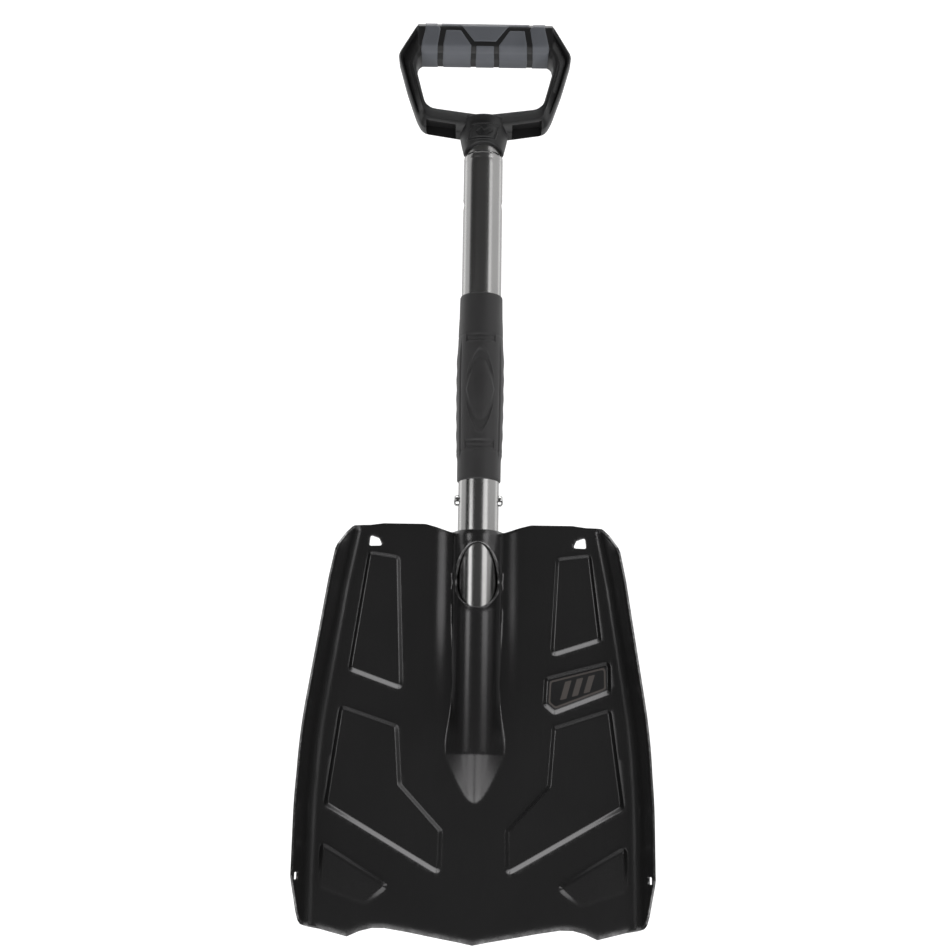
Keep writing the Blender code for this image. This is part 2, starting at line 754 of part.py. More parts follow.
def with_level(line, z):
    """The same section line with a point added at one height on each upright."""
    first, second = line[0], line[1]
    last, before = line[-1], line[-2]
    return [first, (second[0], z)] + line[1:-1] + [(before[0], z), last]


def build_badges(mat):
    """Raised plates: one on the handle's neck, one on the blade."""
    y = AXIS_Y - 18.0
    outline = [(-12.6, 565.0), (8.6, 565.0), (12.6, 577.0), (-8.6, 577.0)]
    prism_y("handle_badge", outline, y - 1.4, y - 0.3, mat)
    plate = inset(EMBLEM, WALL + 1.2)
    rings = []
    for lift in (EMBOSS + 0.35, EMBOSS + 1.15):
        ring = []
        for x, z in plate:
            q = layout_q(x, z)
            p = face_point(q, z) + face_normal(q, z) * lift
            ring.append(tuple(p))
        rings.append(ring)
    verts, faces = rings_to_solid(rings)
    add_object("blade_badge", verts, faces, mat)


def build_pin(mat):
    """Pin that holds the inner tube in the handle, driven in from behind."""
    start = (0.0, AXIS_Y + 9.0, 576.0)
    rod("handle_pin", start, (0.0, AXIS_Y + 17.2, 576.0), 2.0, mat, count=16)


def build():
    for obj in list(bpy.data.objects):
        bpy.data.objects.remove(obj, do_unlink=True)
    blade_mat = new_material("anodised_black", (0.018, 0.018, 0.02), 0.7, 0.42)
    channel_mat = new_material("formed_channel", (0.02, 0.02, 0.022), 0.7, 0.45)
    bead_mat = new_material("weld_metal", (0.06, 0.06, 0.065), 0.8, 0.5)
    tube_mat = new_material("anodised_grey", (0.16, 0.16, 0.165), 0.9, 0.32)
    inner_mat = new_material("inner_tube_grey", (0.2, 0.2, 0.205), 0.9, 0.35)
    grip_mat = new_material("grip_rubber", (0.05, 0.05, 0.052), 0.0, 0.75)
    plug_mat = new_material("plug_plastic", (0.03, 0.03, 0.032), 0.0, 0.5)
    steel_mat = new_material("spring_steel", (0.55, 0.55, 0.56), 1.0, 0.3)
    button_mat = new_material("snap_steel", (0.62, 0.62, 0.63), 1.0, 0.2)
    handle_mat = new_material("handle_plastic", (0.025, 0.025, 0.027), 0.0, 0.48)
    pad_mat = new_material("pad_rubber", (0.1, 0.105, 0.115), 0.0, 0.6)
    badge_mat = new_material("badge_plate", (0.02, 0.02, 0.022), 0.0, 0.4)
    build_blade(blade_mat)
    channel = build_channel(channel_mat, bead_mat)
    hole = rod("cut_lock_channel", (0.0, AXIS_Y + 8.0, LOCK_Z), (0.0, AXIS_Y + 24.0, LOCK_Z),
               SNAP_R + 0.5, channel_mat, count=20)
    add_boolean(channel, hole)
    build_outer_tube(tube_mat)
    build_grip(grip_mat)
    build_plugs(plug_mat)
    build_inner_tube(inner_mat)
    build_springs(steel_mat)
    build_buttons(button_mat)
    build_handle(handle_mat)
    build_pads(pad_mat)
    build_badges(badge_mat)
    build_pin(steel_mat)


build()
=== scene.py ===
"""Looks of the avalanche shovel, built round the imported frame.

Lengths in the mesh code are millimetres in the row frame: the lip is the origin, +Z runs up
the shaft and -Y is the scoop side."""
import math

import bmesh
import bpy
import numpy as np
from mathutils import Matrix, Vector
from mathutils.geometry import delaunay_2d_cdt


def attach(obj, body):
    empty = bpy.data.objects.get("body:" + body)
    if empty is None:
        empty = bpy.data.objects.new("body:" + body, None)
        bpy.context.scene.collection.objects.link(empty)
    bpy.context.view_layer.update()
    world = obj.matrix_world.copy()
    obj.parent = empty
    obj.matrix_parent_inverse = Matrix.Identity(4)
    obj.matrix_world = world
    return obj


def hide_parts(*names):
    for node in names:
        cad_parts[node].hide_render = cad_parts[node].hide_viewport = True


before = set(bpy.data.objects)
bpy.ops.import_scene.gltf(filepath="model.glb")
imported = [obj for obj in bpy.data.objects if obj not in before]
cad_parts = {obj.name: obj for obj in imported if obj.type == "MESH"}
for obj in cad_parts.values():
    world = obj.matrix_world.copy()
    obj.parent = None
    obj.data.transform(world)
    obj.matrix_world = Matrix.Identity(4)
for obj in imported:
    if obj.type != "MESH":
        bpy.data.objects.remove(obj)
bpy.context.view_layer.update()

MM = 0.001

AXIS_Y = 14.0            # shaft axis, behind the lip
OUTER_R = 14.3           # outer radii of the two tubes
INNER_R = 12.5
SNAP_Z = 299.5           # height of the snap buttons
TRAVEL = 220.5           # how far up the handle slides, to the upper pair of holes
SNAP_R = 3.9             # radius of all three buttons
LOCK_Z = 206.0           # height of the lock button behind the socket
PIN_Z = 576.0            # height of the pin through the neck
PIN_HOLE_R = 2.3
TUBE_FOOT = 152.0        # lower ends of the outer and the inner tube
SLIDE_FOOT = 258.0

SHEET = 2.0              # thickness of the blade
WING_BACK = 4.0          # the wings lie this far in front of the shaft axis at the top
WING_Z = 280.0           # from here down the wings curve forward
WING_CURVE = 2.6
RIDGE_R = 16.85          # outer radius of the socket ridge
RIDGE_TURN = (0.6, 0.965)     # share of that radius where its sides turn straight, and the
RIDGE_TURN_Z = (128.0, 168.0)    # heights between which the share grows
NOSE_Z = (91.5, 124.0)   # the ridge narrows to its nose between these heights
SHOULDER_X = 32.0        # the wings start to dip towards the troughs beside the ridge
TROUGH_X = (18.6, 31.0)  # inner and outer edge of a trough's sloping side
TROUGH_Z = (122.0, 230.0)     # a trough deepens between these heights
TROUGH_DEEP = 0.7        # to this share of the way from the wings to the shaft axis
FILLET = 0.7             # the ridge blends into the trough over this depth
FLANGE = 22.0            # depth of the turned-up sides
FLANGE_Z = (110.0, 240.0)     # between these heights the sides change as follows:
FLANGE_R = (9.0, 7.0)         # radius of their bend
FLANGE_TURN = (72.0, 70.0)    # angle of their bend, in degrees
FLANGE_OUT = 4.6              # how much further out they move
SIDE_X = 104.4           # half width at the end of the bend, at the height SIDE_Z
SIDE_Z = 160.0
SIDE_TAPER = 0.194       # above it the sides close in by this much per millimetre
SIDE_FADE = 80.0         # below it the taper fades out over this height
EMBOSS = 2.0             # height of the raised panels and width of their sloping walls
WALL = 2.9
WALL_ROUND = 0.3         # how much of the wall's slope is an S-curve
SHOULDER_OUT = 0.3       # the wall's foot spreads this far outside the panel's outline
CORNER_R = 4.0           # radius of the panels' corners
CORNER_FADE = 26.0       # the lowest panels rise over this distance from their lower edge
SPAN_RIDGE = 40.0        # widths of the three bands of the blade's flat layout
SPAN_WING = 76.0
SPAN_FLANGE = 27.0
BEND_Q = SPAN_RIDGE + SPAN_WING
SECTION_Z = 240.0        # the layout's ridge band is measured along the section at this height

EDGE_CHAMFER = 0.42      # how far the sheet's edges are rubbed down
LIP_BEVEL = (1.0, 2.6)   # depth and width of the ground bevel along the lip
OVAL_LIFT = 0.3          # height of the raised rim round the opening
EDGE_STEP = 2.6          # spacing of the points along the blade's edges and panels

CHANNEL_Z = (148.0, 262.0)    # ends of the formed channel behind the ridge
CHANNEL_EDGE = 19.4      # half width to the channel's inner weld edges
WELD_X = 20.6            # half width to the weld beads, and the heights that they span
WELD_Z = (163.0, 247.0)
SNAP_HOLE_R = SNAP_R + 0.35
SHARP = 32.0             # edges of drilled pieces stay sharp above this angle, in degrees
SIDES = ((-1.0, "left"), (1.0, "right"))

# --- numbers


def smooth(a, b, v):
    """0 below a, 1 above b and an S-curve between; works on arrays."""
    t = np.clip((np.asarray(v, float) - a) / (b - a), 0.0, 1.0)
    return t * t * (3.0 - 2.0 * t)


def window(v, a, b, c, d):
    """0 below a and above d, 1 from b to c."""
    return smooth(a, b, v) * (1.0 - smooth(c, d, v))


def lerp(a, b, t):
    return a + (b - a) * t


# --- outlines


def winding(points):
    """1 for an outline that runs anticlockwise, -1 for one that runs clockwise."""
    area = sum(points[i - 1][0] * points[i][1] - points[i][0] * points[i - 1][1]
               for i in range(len(points)))
    return 1.0 if area > 0.0 else -1.0


def inset(points, distance):
    """An outline moved inwards by a distance, corner by corner."""
    count, sign = len(points), winding(points)
    result = []
    for i in range(count):
        p0, p1, p2 = Vector(points[i - 1]), Vector(points[i]), Vector(points[(i + 1) % count])
        d0, d1 = (p1 - p0).normalized(), (p2 - p1).normalized()
        n0, n1 = Vector((-d0.y, d0.x)) * sign, Vector((-d1.y, d1.x)) * sign
        result.append(tuple(p1 + (n0 + n1) / (1.0 + n0.dot(n1)) * distance))
    return result


def rounded(points, radius, steps=5, closed=True):
    """The outline with each corner turned into an arc; radius may be one number or one each."""
    count = len(points)
    radii = radius if isinstance(radius, (list, tuple)) else [radius] * count
    result = []
    for i in range(count):
        if not closed and i in (0, count - 1):
            result.append(tuple(points[i]))
            continue
        p0, p1, p2 = Vector(points[i - 1]), Vector(points[i]), Vector(points[(i + 1) % count])
        a, b = p0 - p1, p2 - p1
        half = math.acos(max(-1.0, min(1.0, a.normalized().dot(b.normalized())))) / 2.0
        reach = radii[i] / max(math.tan(half), 1e-6)
        reach = min(reach, 0.45 * a.length, 0.45 * b.length)
        start, end = p1 + a.normalized() * reach, p1 + b.normalized() * reach
        if reach < 0.05:
            result.append(tuple(p1))
            continue
        for k in range(steps + 1):
            t = k / steps
            result.append(tuple(start * (1 - t) ** 2 + p1 * 2 * t * (1 - t) + end * t * t))
    return result


def refine(points, spacing, closed=True):
    """The same outline with extra points so that no edge is longer than spacing."""
    result = []
    count = len(points) if closed else len(points) - 1
    for i in range(count):
        a, b = Vector(points[i]), Vector(points[(i + 1) % len(points)])
        parts = max(1, math.ceil((b - a).length / spacing))
        result += [tuple(a.lerp(b, k / parts)) for k in range(parts)]
    if not closed:
        result.append(tuple(points[-1]))
    return result


def distance_to(points, loop, closed=True):
    """Distance of each point to an outline: positive inside a closed one, negative outside."""
    p = np.asarray(points, float).reshape(-1, 2)
    a = np.asarray(loop, float)
    b = np.roll(a, -1, axis=0)
    if not closed:
        a, b = a[:-1], b[:-1]
    best = np.full(len(p), 1e9)
    hit = np.zeros(len(p), bool)
    for (ax, az), (bx, bz) in zip(a, b):
        dx, dz = bx - ax, bz - az
        along = (p[:, 0] - ax) * dx + (p[:, 1] - az) * dz
        t = np.clip(along / max(dx * dx + dz * dz, 1e-12), 0, 1)
        best = np.minimum(best, np.hypot(p[:, 0] - ax - t * dx, p[:, 1] - az - t * dz))
        if closed and abs(dz) > 1e-12:
            cross = (az > p[:, 1]) != (bz > p[:, 1])
            hit ^= cross & (p[:, 0] < dx * (p[:, 1] - az) / dz + ax)
    return np.where(hit, best, -best) if closed else best


def mirrored(points):
    """The outline on the other side, running the same way round."""
    return [(-x, z) for x, z in reversed(points)]


def triangulate(loops, free, keep):
    """Constrained triangles of a flat layout; keep(mids) says which triangles stay."""
    verts, edges = [], []
    for loop in loops:
        base = len(verts)
        verts += [Vector(p) for p in loop]
        edges += [(base + i, base + (i + 1) % len(loop)) for i in range(len(loop))]
    verts += [Vector(p) for p in free]
    points, _, tris, _, _, _ = delaunay_2d_cdt(verts, edges, [], 1, 1e-5)
    flat = np.array([tuple(p) for p in points])
    tris = np.array([tuple(t) for t in tris])
    tris = tris[keep(flat[tris].mean(axis=1))]
    used = np.unique(tris)
    index = np.zeros(len(flat), int)
    index[used] = np.arange(len(used))
    return flat[used], index[tris]


# --- pieces


def new_mesh(name, verts, faces):
    """A mesh from millimetre points."""
    mesh = bpy.data.meshes.new(name)
    mesh.from_pydata([(p[0] * MM, p[1] * MM, p[2] * MM) for p in verts], [],
                     [tuple(int(i) for i in f) for f in faces])
    return mesh


def new_object(name, data):
    """An object in the scene for a mesh, light or camera."""
    obj = bpy.data.objects.new(name, data)
    bpy.context.scene.collection.objects.link(obj)
    return obj


def face_outwards(mesh):
    """All the normals of a closed mesh turned outwards."""
    bm = bmesh.new()
    bm.from_mesh(mesh)
    bmesh.ops.recalc_face_normals(bm, faces=bm.faces)
    bm.to_mesh(mesh)
    bm.free()


def sharpen(mesh, angle):
    """Smooth shading with sharp edges above an angle in degrees."""
    mesh.shade_smooth()
    mesh.set_sharp_from_angle(angle=math.radians(angle))


def make_piece(name, verts, faces, mats, body, slot, nodes, angle=38.0, mark=None):
    """A mesh object that rides on a body and stands for CAD nodes; mark is its rubbed edges."""
    mesh = new_mesh(name, verts, faces)
    mesh.validate()
    if mark is not None:
        layer = mesh.attributes.new("wear", "FLOAT", "POINT")
        layer.data.foreach_set("value", np.asarray(mark, np.float32))
    face_outwards(mesh)
    for mat in mats if isinstance(mats, list) else [mats]:
        mesh.materials.append(mat)
    sharpen(mesh, angle)
    obj = new_object(name, mesh)
    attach(obj, body)
    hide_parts(*nodes)
    return obj


def loft(rings, ring_closed=True, along_closed=False, caps=True):
    """Vertices and faces through equal-length rings."""
    count = len(rings[0])
    verts = [tuple(p) for ring in rings for p in ring]
    faces = []
    for i in range(len(rings) if along_closed else len(rings) - 1):
        j = (i + 1) % len(rings)
        for k in range(count if ring_closed else count - 1):
            m = (k + 1) % count
            faces.append((i * count + k, i * count + m, j * count + m, j * count + k))
    if caps and not along_closed:
        faces.append(tuple(range(count))[::-1])
        faces.append(tuple((len(rings) - 1) * count + k for k in range(count)))
    return verts, faces


def turned(radius, angles):
    """Points (x, y) about the shaft axis; angle 0 is to the right, a quarter turn behind."""
    return [(radius * math.cos(a), AXIS_Y + radius * math.sin(a)) for a in angles]


def full_turn(count):
    """Angles at equal steps all the way round."""
    return [2.0 * math.pi * k / count for k in range(count)]


def behind_axis(depth, z):
    """A point in the middle plane, behind the shaft axis."""
    return (0.0, AXIS_Y + depth, z)


def lathe_rows(profile, count, closed=True):
    """A turned shape about the shaft axis; profile is (radius, z)."""
    rings = [[(x, y, z) for x, y in turned(r, full_turn(count))] for r, z in profile]
    return loft(rings, along_closed=closed, caps=not closed)


def round_bar(start, end, profile, count=40):
    """A turned shape between two points; profile is (share of the length, radius)."""
    a, b = Vector(start), Vector(end)
    axis = (b - a).normalized()
    side = axis.cross(Vector((0.0, 0.0, 1.0)) if abs(axis.z) < 0.9 else Vector((0.0, 1.0, 0.0)))
    side.normalize()
    up = axis.cross(side)
    return loft([[a.lerp(b, t) + side * (r * math.cos(w)) + up * (r * math.sin(w))
                  for w in full_turn(count)] for t, r in profile])


def cut(obj, verts, faces, operation="DIFFERENCE"):
    """A boolean with a temporary cutter, applied at once."""
    mesh = new_mesh("cutter", verts, faces)
    face_outwards(mesh)
    mesh.materials.append(obj.data.materials[0])
    tool = new_object("cutter", mesh)
    mod = obj.modifiers.new("cut", "BOOLEAN")
    mod.operation, mod.solver, mod.object = operation, "EXACT", tool
    bpy.context.view_layer.update()
    evaluated = obj.evaluated_get(bpy.context.evaluated_depsgraph_get())
    baked = bpy.data.meshes.new_from_object(evaluated)
    obj.modifiers.clear()
    old = obj.data
    obj.data = baked
    bpy.data.meshes.remove(old)
    bpy.data.objects.remove(tool)
    bpy.data.meshes.remove(mesh)


def drill(obj, start, end, radius, count=40):
    """A straight round hole between two points."""
    cut(obj, *round_bar(start, end, [(0.0, radius), (1.0, radius)], count))


def two_sided(front, back, tris):
    """A closed sheet: the triangles of both faces and a wall along every open edge."""
    count = len(front)
    edges = {(int(t[i - 1]), int(t[i])) for t in tris for i in range(3)}
    walls = [(b, a, count + a, count + b) for a, b in sorted(edges) if (b, a) not in edges]
    faces = [tuple(t) for t in tris] + [tuple(count + i for i in t[::-1]) for t in tris]
    return np.concatenate([front, back]), faces + walls


# --- materials


class Paint:
    """A node material with short helpers for its texture nodes."""

    def __init__(self, name, metallic=0.0, roughness=0.5, sheen=0.0):
        self.mat = bpy.data.materials.new(name)
        self.mat.use_nodes = True
        self.tree = self.mat.node_tree
        self.shader = self.tree.nodes["Principled BSDF"]
        for socket, value in (("Metallic", metallic), ("Roughness", roughness), ("IOR", 1.5),
                              ("Sheen Weight", sheen)):
            self.shader.inputs[socket].default_value = value
        self.place = self.tree.nodes.new("ShaderNodeTexCoord").outputs["Object"]
        self.normal = None

    def node(self, kind, **inputs):
        made = self.tree.nodes.new(kind)
        for key, value in inputs.items():
            made.inputs[key].default_value = value
        return made

    def link(self, a, b):
        self.tree.links.new(a, b)

    def stretch(self, x, y, z):
        scaled = self.tree.nodes.new("ShaderNodeMapping")
        scaled.inputs["Scale"].default_value = (x, y, z)
        self.link(self.place, scaled.inputs["Vector"])
        return scaled.outputs["Vector"]

    def noise(self, scale, detail=3.0, rough=0.5, place=None):
        made = self.node("ShaderNodeTexNoise", Scale=scale, Detail=detail, Roughness=rough)
        self.link(place or self.place, made.inputs["Vector"])
        return made.outputs["Fac"]

    def cells(self, scale):
        made = self.node("ShaderNodeTexVoronoi", Scale=scale)
        self.link(self.place, made.inputs["Vector"])
        return made.outputs["Distance"]

    def ramp(self, source, stops):
        made = self.tree.nodes.new("ShaderNodeValToRGB")
        ends = made.color_ramp.elements
        while len(ends) < len(stops):
            ends.new(0.5)
        for end, (position, colour) in zip(ends, stops):
            end.position = position
            end.color = (*colour, 1.0) if isinstance(colour, tuple) else (colour,) * 3 + (1.0,)
        self.link(source, made.inputs["Fac"])
        return made.outputs["Color"]

    def mix(self, factor, a, b):
        made = self.tree.nodes.new("ShaderNodeMix")
        made.data_type = "RGBA"
        for value, socket in ((factor, made.inputs[0]), (a, made.inputs[6]), (b, made.inputs[7])):
            if isinstance(value, bpy.types.NodeSocket):
                self.link(value, socket)
            else:
                socket.default_value = (*value, 1.0) if isinstance(value, tuple) else value
        return made.outputs[2]

    def attribute(self, name):
        made = self.tree.nodes.new("ShaderNodeAttribute")
        made.attribute_name = name
        return made.outputs["Fac"]

    def bump(self, height, strength, distance):
        made = self.node("ShaderNodeBump", Strength=strength, Distance=distance)
        self.link(height, made.inputs["Height"])
        if self.normal is not None:
            self.link(self.normal, made.inputs["Normal"])
        self.normal = made.outputs["Normal"]
        self.link(self.normal, self.shader.inputs["Normal"])

    def colour(self, source):
        self.link(source, self.shader.inputs["Base Color"])

    def rough(self, source):
        self.link(source, self.shader.inputs["Roughness"])


def cloudy(p, cloud, dark, light):
    """Base colour that drifts between two tones."""
    return p.mix(p.ramp(cloud, [(0.3, 0.0), (0.7, 1.0)]), dark, light)


def anodised(name, dark, light, worn, low, high, metallic, streak=1.0):
    """Anodised aluminium: fine etched grain, faint drawing lines and rubbed edges."""
    p = Paint(name, metallic=metallic, roughness=0.4)
    cloud = p.noise(9.0, 4.0)
    grain = p.noise(1900.0, 2.0, 0.6)
    lines = p.noise(1.0, 2.0, 0.6, p.stretch(900.0, 900.0, 9.0))
    base = cloudy(p, cloud, dark, light)
    base = p.mix(p.ramp(grain, [(0.45, 0.0), (0.85, 0.35)]), base, light)
    rubbed = p.ramp(p.attribute("wear"), [(0.35, 0.0), (1.0, 1.0)])
    spots = p.ramp(p.noise(320.0, 4.0, 0.7), [(0.46, 0.0), (0.62, 1.0)])
    edge = p.mix(rubbed, (0.0, 0.0, 0.0), spots)
    p.colour(p.mix(edge, base, worn))
    p.rough(p.ramp(p.mix(0.5 * streak, cloud, lines), [(0.25, low), (0.75, high)]))
    p.bump(lines, 0.05 * streak, 0.0001)
    p.bump(grain, 0.16, 0.00008)
    return p.mat


def rubber(name, dark, light, low, high):
    """Moulded rubber: pebbled grain, a dusty sheen and cloudy colour."""
    p = Paint(name, roughness=0.7, sheen=0.12)
    cloud = p.noise(45.0, 4.0)
    pebble = p.cells(1500.0)
    fine = p.noise(3000.0, 2.0)
    base = cloudy(p, cloud, dark, light)
    p.colour(p.mix(p.ramp(fine, [(0.5, 0.0), (0.9, 0.4)]), base, light))
    p.rough(p.ramp(cloud, [(0.3, low), (0.7, high)]))
    p.bump(pebble, 0.25, 0.00012)
    p.bump(fine, 0.12, 0.00008)
    return p.mat


def plastic(name, dark, light, low, high, grain_scale=900.0, depth=0.22):
    """Textured moulded plastic, cloudy and finely speckled."""
    p = Paint(name)
    cloud = p.noise(30.0, 4.0)
    grain = p.noise(grain_scale, 3.0, 0.6)
    base = cloudy(p, cloud, dark, light)
    p.colour(p.mix(p.ramp(grain, [(0.5, 0.0), (0.85, 0.5)]), base, light))
    p.rough(p.ramp(p.mix(0.35, cloud, grain), [(0.3, low), (0.7, high)]))
    p.bump(grain, depth, 0.00012)
    return p.mat


def steel(name, dark, light, low, high):
    """Bare steel with fine working marks."""
    p = Paint(name, metallic=1.0, roughness=0.25)
    marks = p.noise(1.0, 3.0, 0.6, p.stretch(300.0, 300.0, 300.0))
    cloud = p.noise(120.0, 3.0)
    p.colour(cloudy(p, cloud, dark, light))
    p.rough(p.ramp(p.mix(0.5, marks, cloud), [(0.3, low), (0.7, high)]))
    p.bump(marks, 0.08, 0.0001)
    return p.mat


# --- blade surface


def wing_y(z):
    """Front face of the wings: nearly upright at the top, curving forward to the lip."""
    top = AXIS_Y - WING_BACK
    return top - top * np.maximum(0.0, 1.0 - z / WING_Z) ** WING_CURVE


def flange_share(z):
    """0 on the lower part of the flange, 1 on its upper part."""
    return np.clip((z - FLANGE_Z[0]) / (FLANGE_Z[1] - FLANGE_Z[0]), 0.0, 1.0)


def flange_shape(z):
    """Bend radius and bend angle of the flange at height z."""
    t = flange_share(z)
    return lerp(*FLANGE_R, t), np.radians(lerp(*FLANGE_TURN, t))


def crease_x(z):
    """Where the wing starts to turn up into the flange."""
    below = SIDE_Z - z
    bent = (SIDE_TAPER * np.minimum(below, SIDE_FADE) ** 2 / (2.0 * SIDE_FADE)
            + SIDE_TAPER * np.maximum(0.0, below - SIDE_FADE))
    radius, angle = flange_shape(z)
    return (SIDE_X + FLANGE_OUT * flange_share(z) + SIDE_TAPER * below
            - np.where(below > 0.0, bent, 0.0) - radius * np.sin(angle))


def ridge_rise(x, z):
    """How far the ridge's side has fallen back from its crest at a half width."""
    turn = lerp(*RIDGE_TURN, smooth(*RIDGE_TURN_Z, z)) * RIDGE_R
    edge = np.sqrt(RIDGE_R ** 2 - turn ** 2)
    dome = RIDGE_R - np.sqrt(np.maximum(RIDGE_R ** 2 - x * x, 1e-6))
    return np.where(x < turn, dome, RIDGE_R - edge + (x - turn) * turn / edge)


def socket_y(x, z):
    """Front face between the shoulders: the socket ridge and the troughs beside it."""
    x, z = np.abs(x), np.asarray(z, float)
    wing = wing_y(z)
    side = 1.0 - smooth(*TROUGH_X, x)
    floor = wing + TROUGH_DEEP * (AXIS_Y - 0.5 - wing) * side * smooth(*TROUGH_Z, z)
    crest = AXIS_Y - RIDGE_R
    along = np.clip((z - NOSE_Z[0]) / (NOSE_Z[1] - NOSE_Z[0]), 1e-4, 1.0)
    size = along ** 0.55
    proud = wing_y(NOSE_Z[1]) - crest
    nose = wing - along ** 0.85 * (proud - ridge_rise(x / size, NOSE_Z[1]))
    ridge = np.where(z < NOSE_Z[1], nose, crest + ridge_rise(x, z))
    ridge = np.where(z < NOSE_Z[0], floor + 9.0, ridge)
    blend = np.maximum(FILLET - np.abs(ridge - floor), 0.0) / FILLET
    return np.minimum(ridge, floor) - blend * blend * FILLET / 4.0


RIDGE_X = np.linspace(0.0, SHOULDER_X, 141)
RIDGE_STEPS = np.hypot(np.diff(RIDGE_X), np.diff(socket_y(RIDGE_X, SECTION_Z)))
RIDGE_S = np.concatenate([[0.0], np.cumsum(RIDGE_STEPS)])
RIDGE_S = RIDGE_S * SPAN_RIDGE / RIDGE_S[-1]     # layout position of each RIDGE_X


def layout_q(x, z):
    """Layout position of a point of the front face inside the flanges."""
    if abs(x) < SHOULDER_X:
        q = float(np.interp(abs(x), RIDGE_X, RIDGE_S))
    else:
        q = SPAN_RIDGE + SPAN_WING * (abs(x) - SHOULDER_X) / (float(crease_x(z)) - SHOULDER_X)
    return -q if x < 0.0 else q


def to_layout(points):
    """Points (x, z) of the front face as layout positions (q, z)."""
    return [(layout_q(x, z), z) for x, z in points]


def face_points(q, z):
    """Points of the blade's front face from their flat layout positions."""
    side = np.where(q < 0.0, -1.0, 1.0)
    q = np.abs(q)
    wing = wing_y(z)
    crease = crease_x(z)
    x = np.interp(q, RIDGE_S, RIDGE_X)
    y = socket_y(x, z)
    on_wing = q > SPAN_RIDGE
    x = np.where(on_wing, lerp(SHOULDER_X, crease, (q - SPAN_RIDGE) / SPAN_WING), x)
    y = np.where(on_wing, wing, y)
    radius, angle = flange_shape(z)
    straight = (FLANGE - radius * (1.0 - np.cos(angle))) / np.sin(angle)
    run = (q - SPAN_RIDGE - SPAN_WING) / SPAN_FLANGE * (radius * angle + straight)
    turn = np.clip(run / radius, 0.0, angle)
    rest = np.maximum(0.0, run - radius * angle)
    bent = q > BEND_Q
    x = np.where(bent, crease + radius * np.sin(turn) + rest * np.cos(angle), x)
    y = np.where(bent, wing - radius * (1.0 - np.cos(turn)) - rest * np.sin(angle), y)
    return np.stack([side * x, y, z], axis=1)


def face_normals(q, z):
    """Unit normals of the front face, pointing forward."""
    step = 0.4
    along = face_points(q + step, z) - face_points(q - step, z)
    up = face_points(q, z + step) - face_points(q, z - step)
    normal = np.cross(along, up)
    return normal / np.linalg.norm(normal, axis=1)[:, None]


# --- blade layout

# Outlines on the blade as (x, z); the lip and the crest are right halves.
LIP = [(0.0, 0.0), (10.0, 2.0), (25.0, 4.6), (43.5, 8.0), (58.0, 10.2), (66.5, 10.1),
       (74.5, 8.1), (82.5, 4.6), (101.0, 9.2)]
CREST = [(0.0, 276.7), (18.5, 276.7), (29.0, 279.9), (37.0, 282.0), (66.0, 282.0),
         (75.5, 280.7)]
# The flange's outer edge, as the layout's distance from the bend and the height.
FLANGE_EDGE = [(4.5, 10.6), (9.0, 12.2), (13.0, 15.2), (17.0, 21.0), (21.5, 31.0), (25.5, 39.5),
               (27.0, 44.0), (27.0, 260.0), (25.0, 264.0), (16.0, 273.0), (6.5, 279.6),
               (3.5, 280.3)]
UPPER_LEFT = [(-76.0, 262.5), (-54.2, 259.2), (-49.7, 165.6), (-87.8, 179.1)]
UPPER_RIGHT = [(54.8, 259.2), (78.9, 262.2), (86.2, 201.2), (51.0, 189.7)]
LOWER = [(92.5, 156.0), (52.4, 142.8), (49.3, 103.5), (21.0, 73.6), (21.5, 43.5), (101.0, 88.8)]
CORNER = [(102.5, 66.0), (54.6, 37.2), (71.4, 23.3), (103.0, 34.0)]
EMBLEM = [(47.0, 176.4), (92.3, 188.4), (92.6, 166.0), (53.6, 150.8), (46.0, 157.2)]
LASH = [(68.9, 271.4), (75.0, 273.6), (75.8, 265.9), (66.6, 266.2)]
# Each panel, and whether it fades out towards its lower edge.
PANELS = [(UPPER_LEFT, False), (UPPER_RIGHT, False), (LOWER, False), (mirrored(LOWER), False),
          (CORNER, True), (mirrored(CORNER), True), (EMBLEM, False)]
OVAL_Z = 241.0           # height where the opening is widest
OVAL = (15.6, 26.8, 18.2)     # its half width, and how far it reaches up and down from there
SLOT = (21.0, 3.0, 41.2, 46.0)    # strap slot: distance from the bend, half width, low, high


def panel_loop(points, distance):
    """Outline of a panel at a distance inside its edge, its corners rounded."""
    sign = winding(points)
    radii = []
    for i in range(len(points)):
        a = Vector(points[i]) - Vector(points[i - 1])
        b = Vector(points[(i + 1) % len(points)]) - Vector(points[i])
        convex = (a.x * b.y - a.y * b.x) * sign > 0.0
        radii.append(max(0.5, CORNER_R - distance if convex else CORNER_R + distance))
    return rounded(inset(points, distance), radii)


def blade_outline():
    """Outer edge of the sheet in layout coordinates."""
    lip = rounded(LIP, [0, 2, 2, 6, 5, 4, 4, 1.2, 0], closed=False)
    right = to_layout(refine(lip, 2.4, closed=False))
    side = [(BEND_Q + q, z) for q, z in FLANGE_EDGE]
    side = rounded([right[-1]] + side, 3.0, closed=False)[1:]
    right += refine(side, EDGE_STEP, closed=False)
    crest = rounded(CREST, [0, 6, 8, 8, 6, 2], closed=False)
    right += to_layout(refine(crest, 2.0, closed=False))[::-1]
    left = [(-q, z) for q, z in right if abs(q) > 1e-6]
    return right + left[::-1]


def teardrop(grow=0.0):
    """The opening in the front of the socket, in layout coordinates."""
    wide, above, under = (size + grow for size in OVAL)
    points = []
    for a in full_turn(64):
        up = math.cos(a)
        points.append((layout_q(wide * math.sin(a), SECTION_Z),
                       OVAL_Z + (above * up if up > 0.0 else under * up)))
    return points


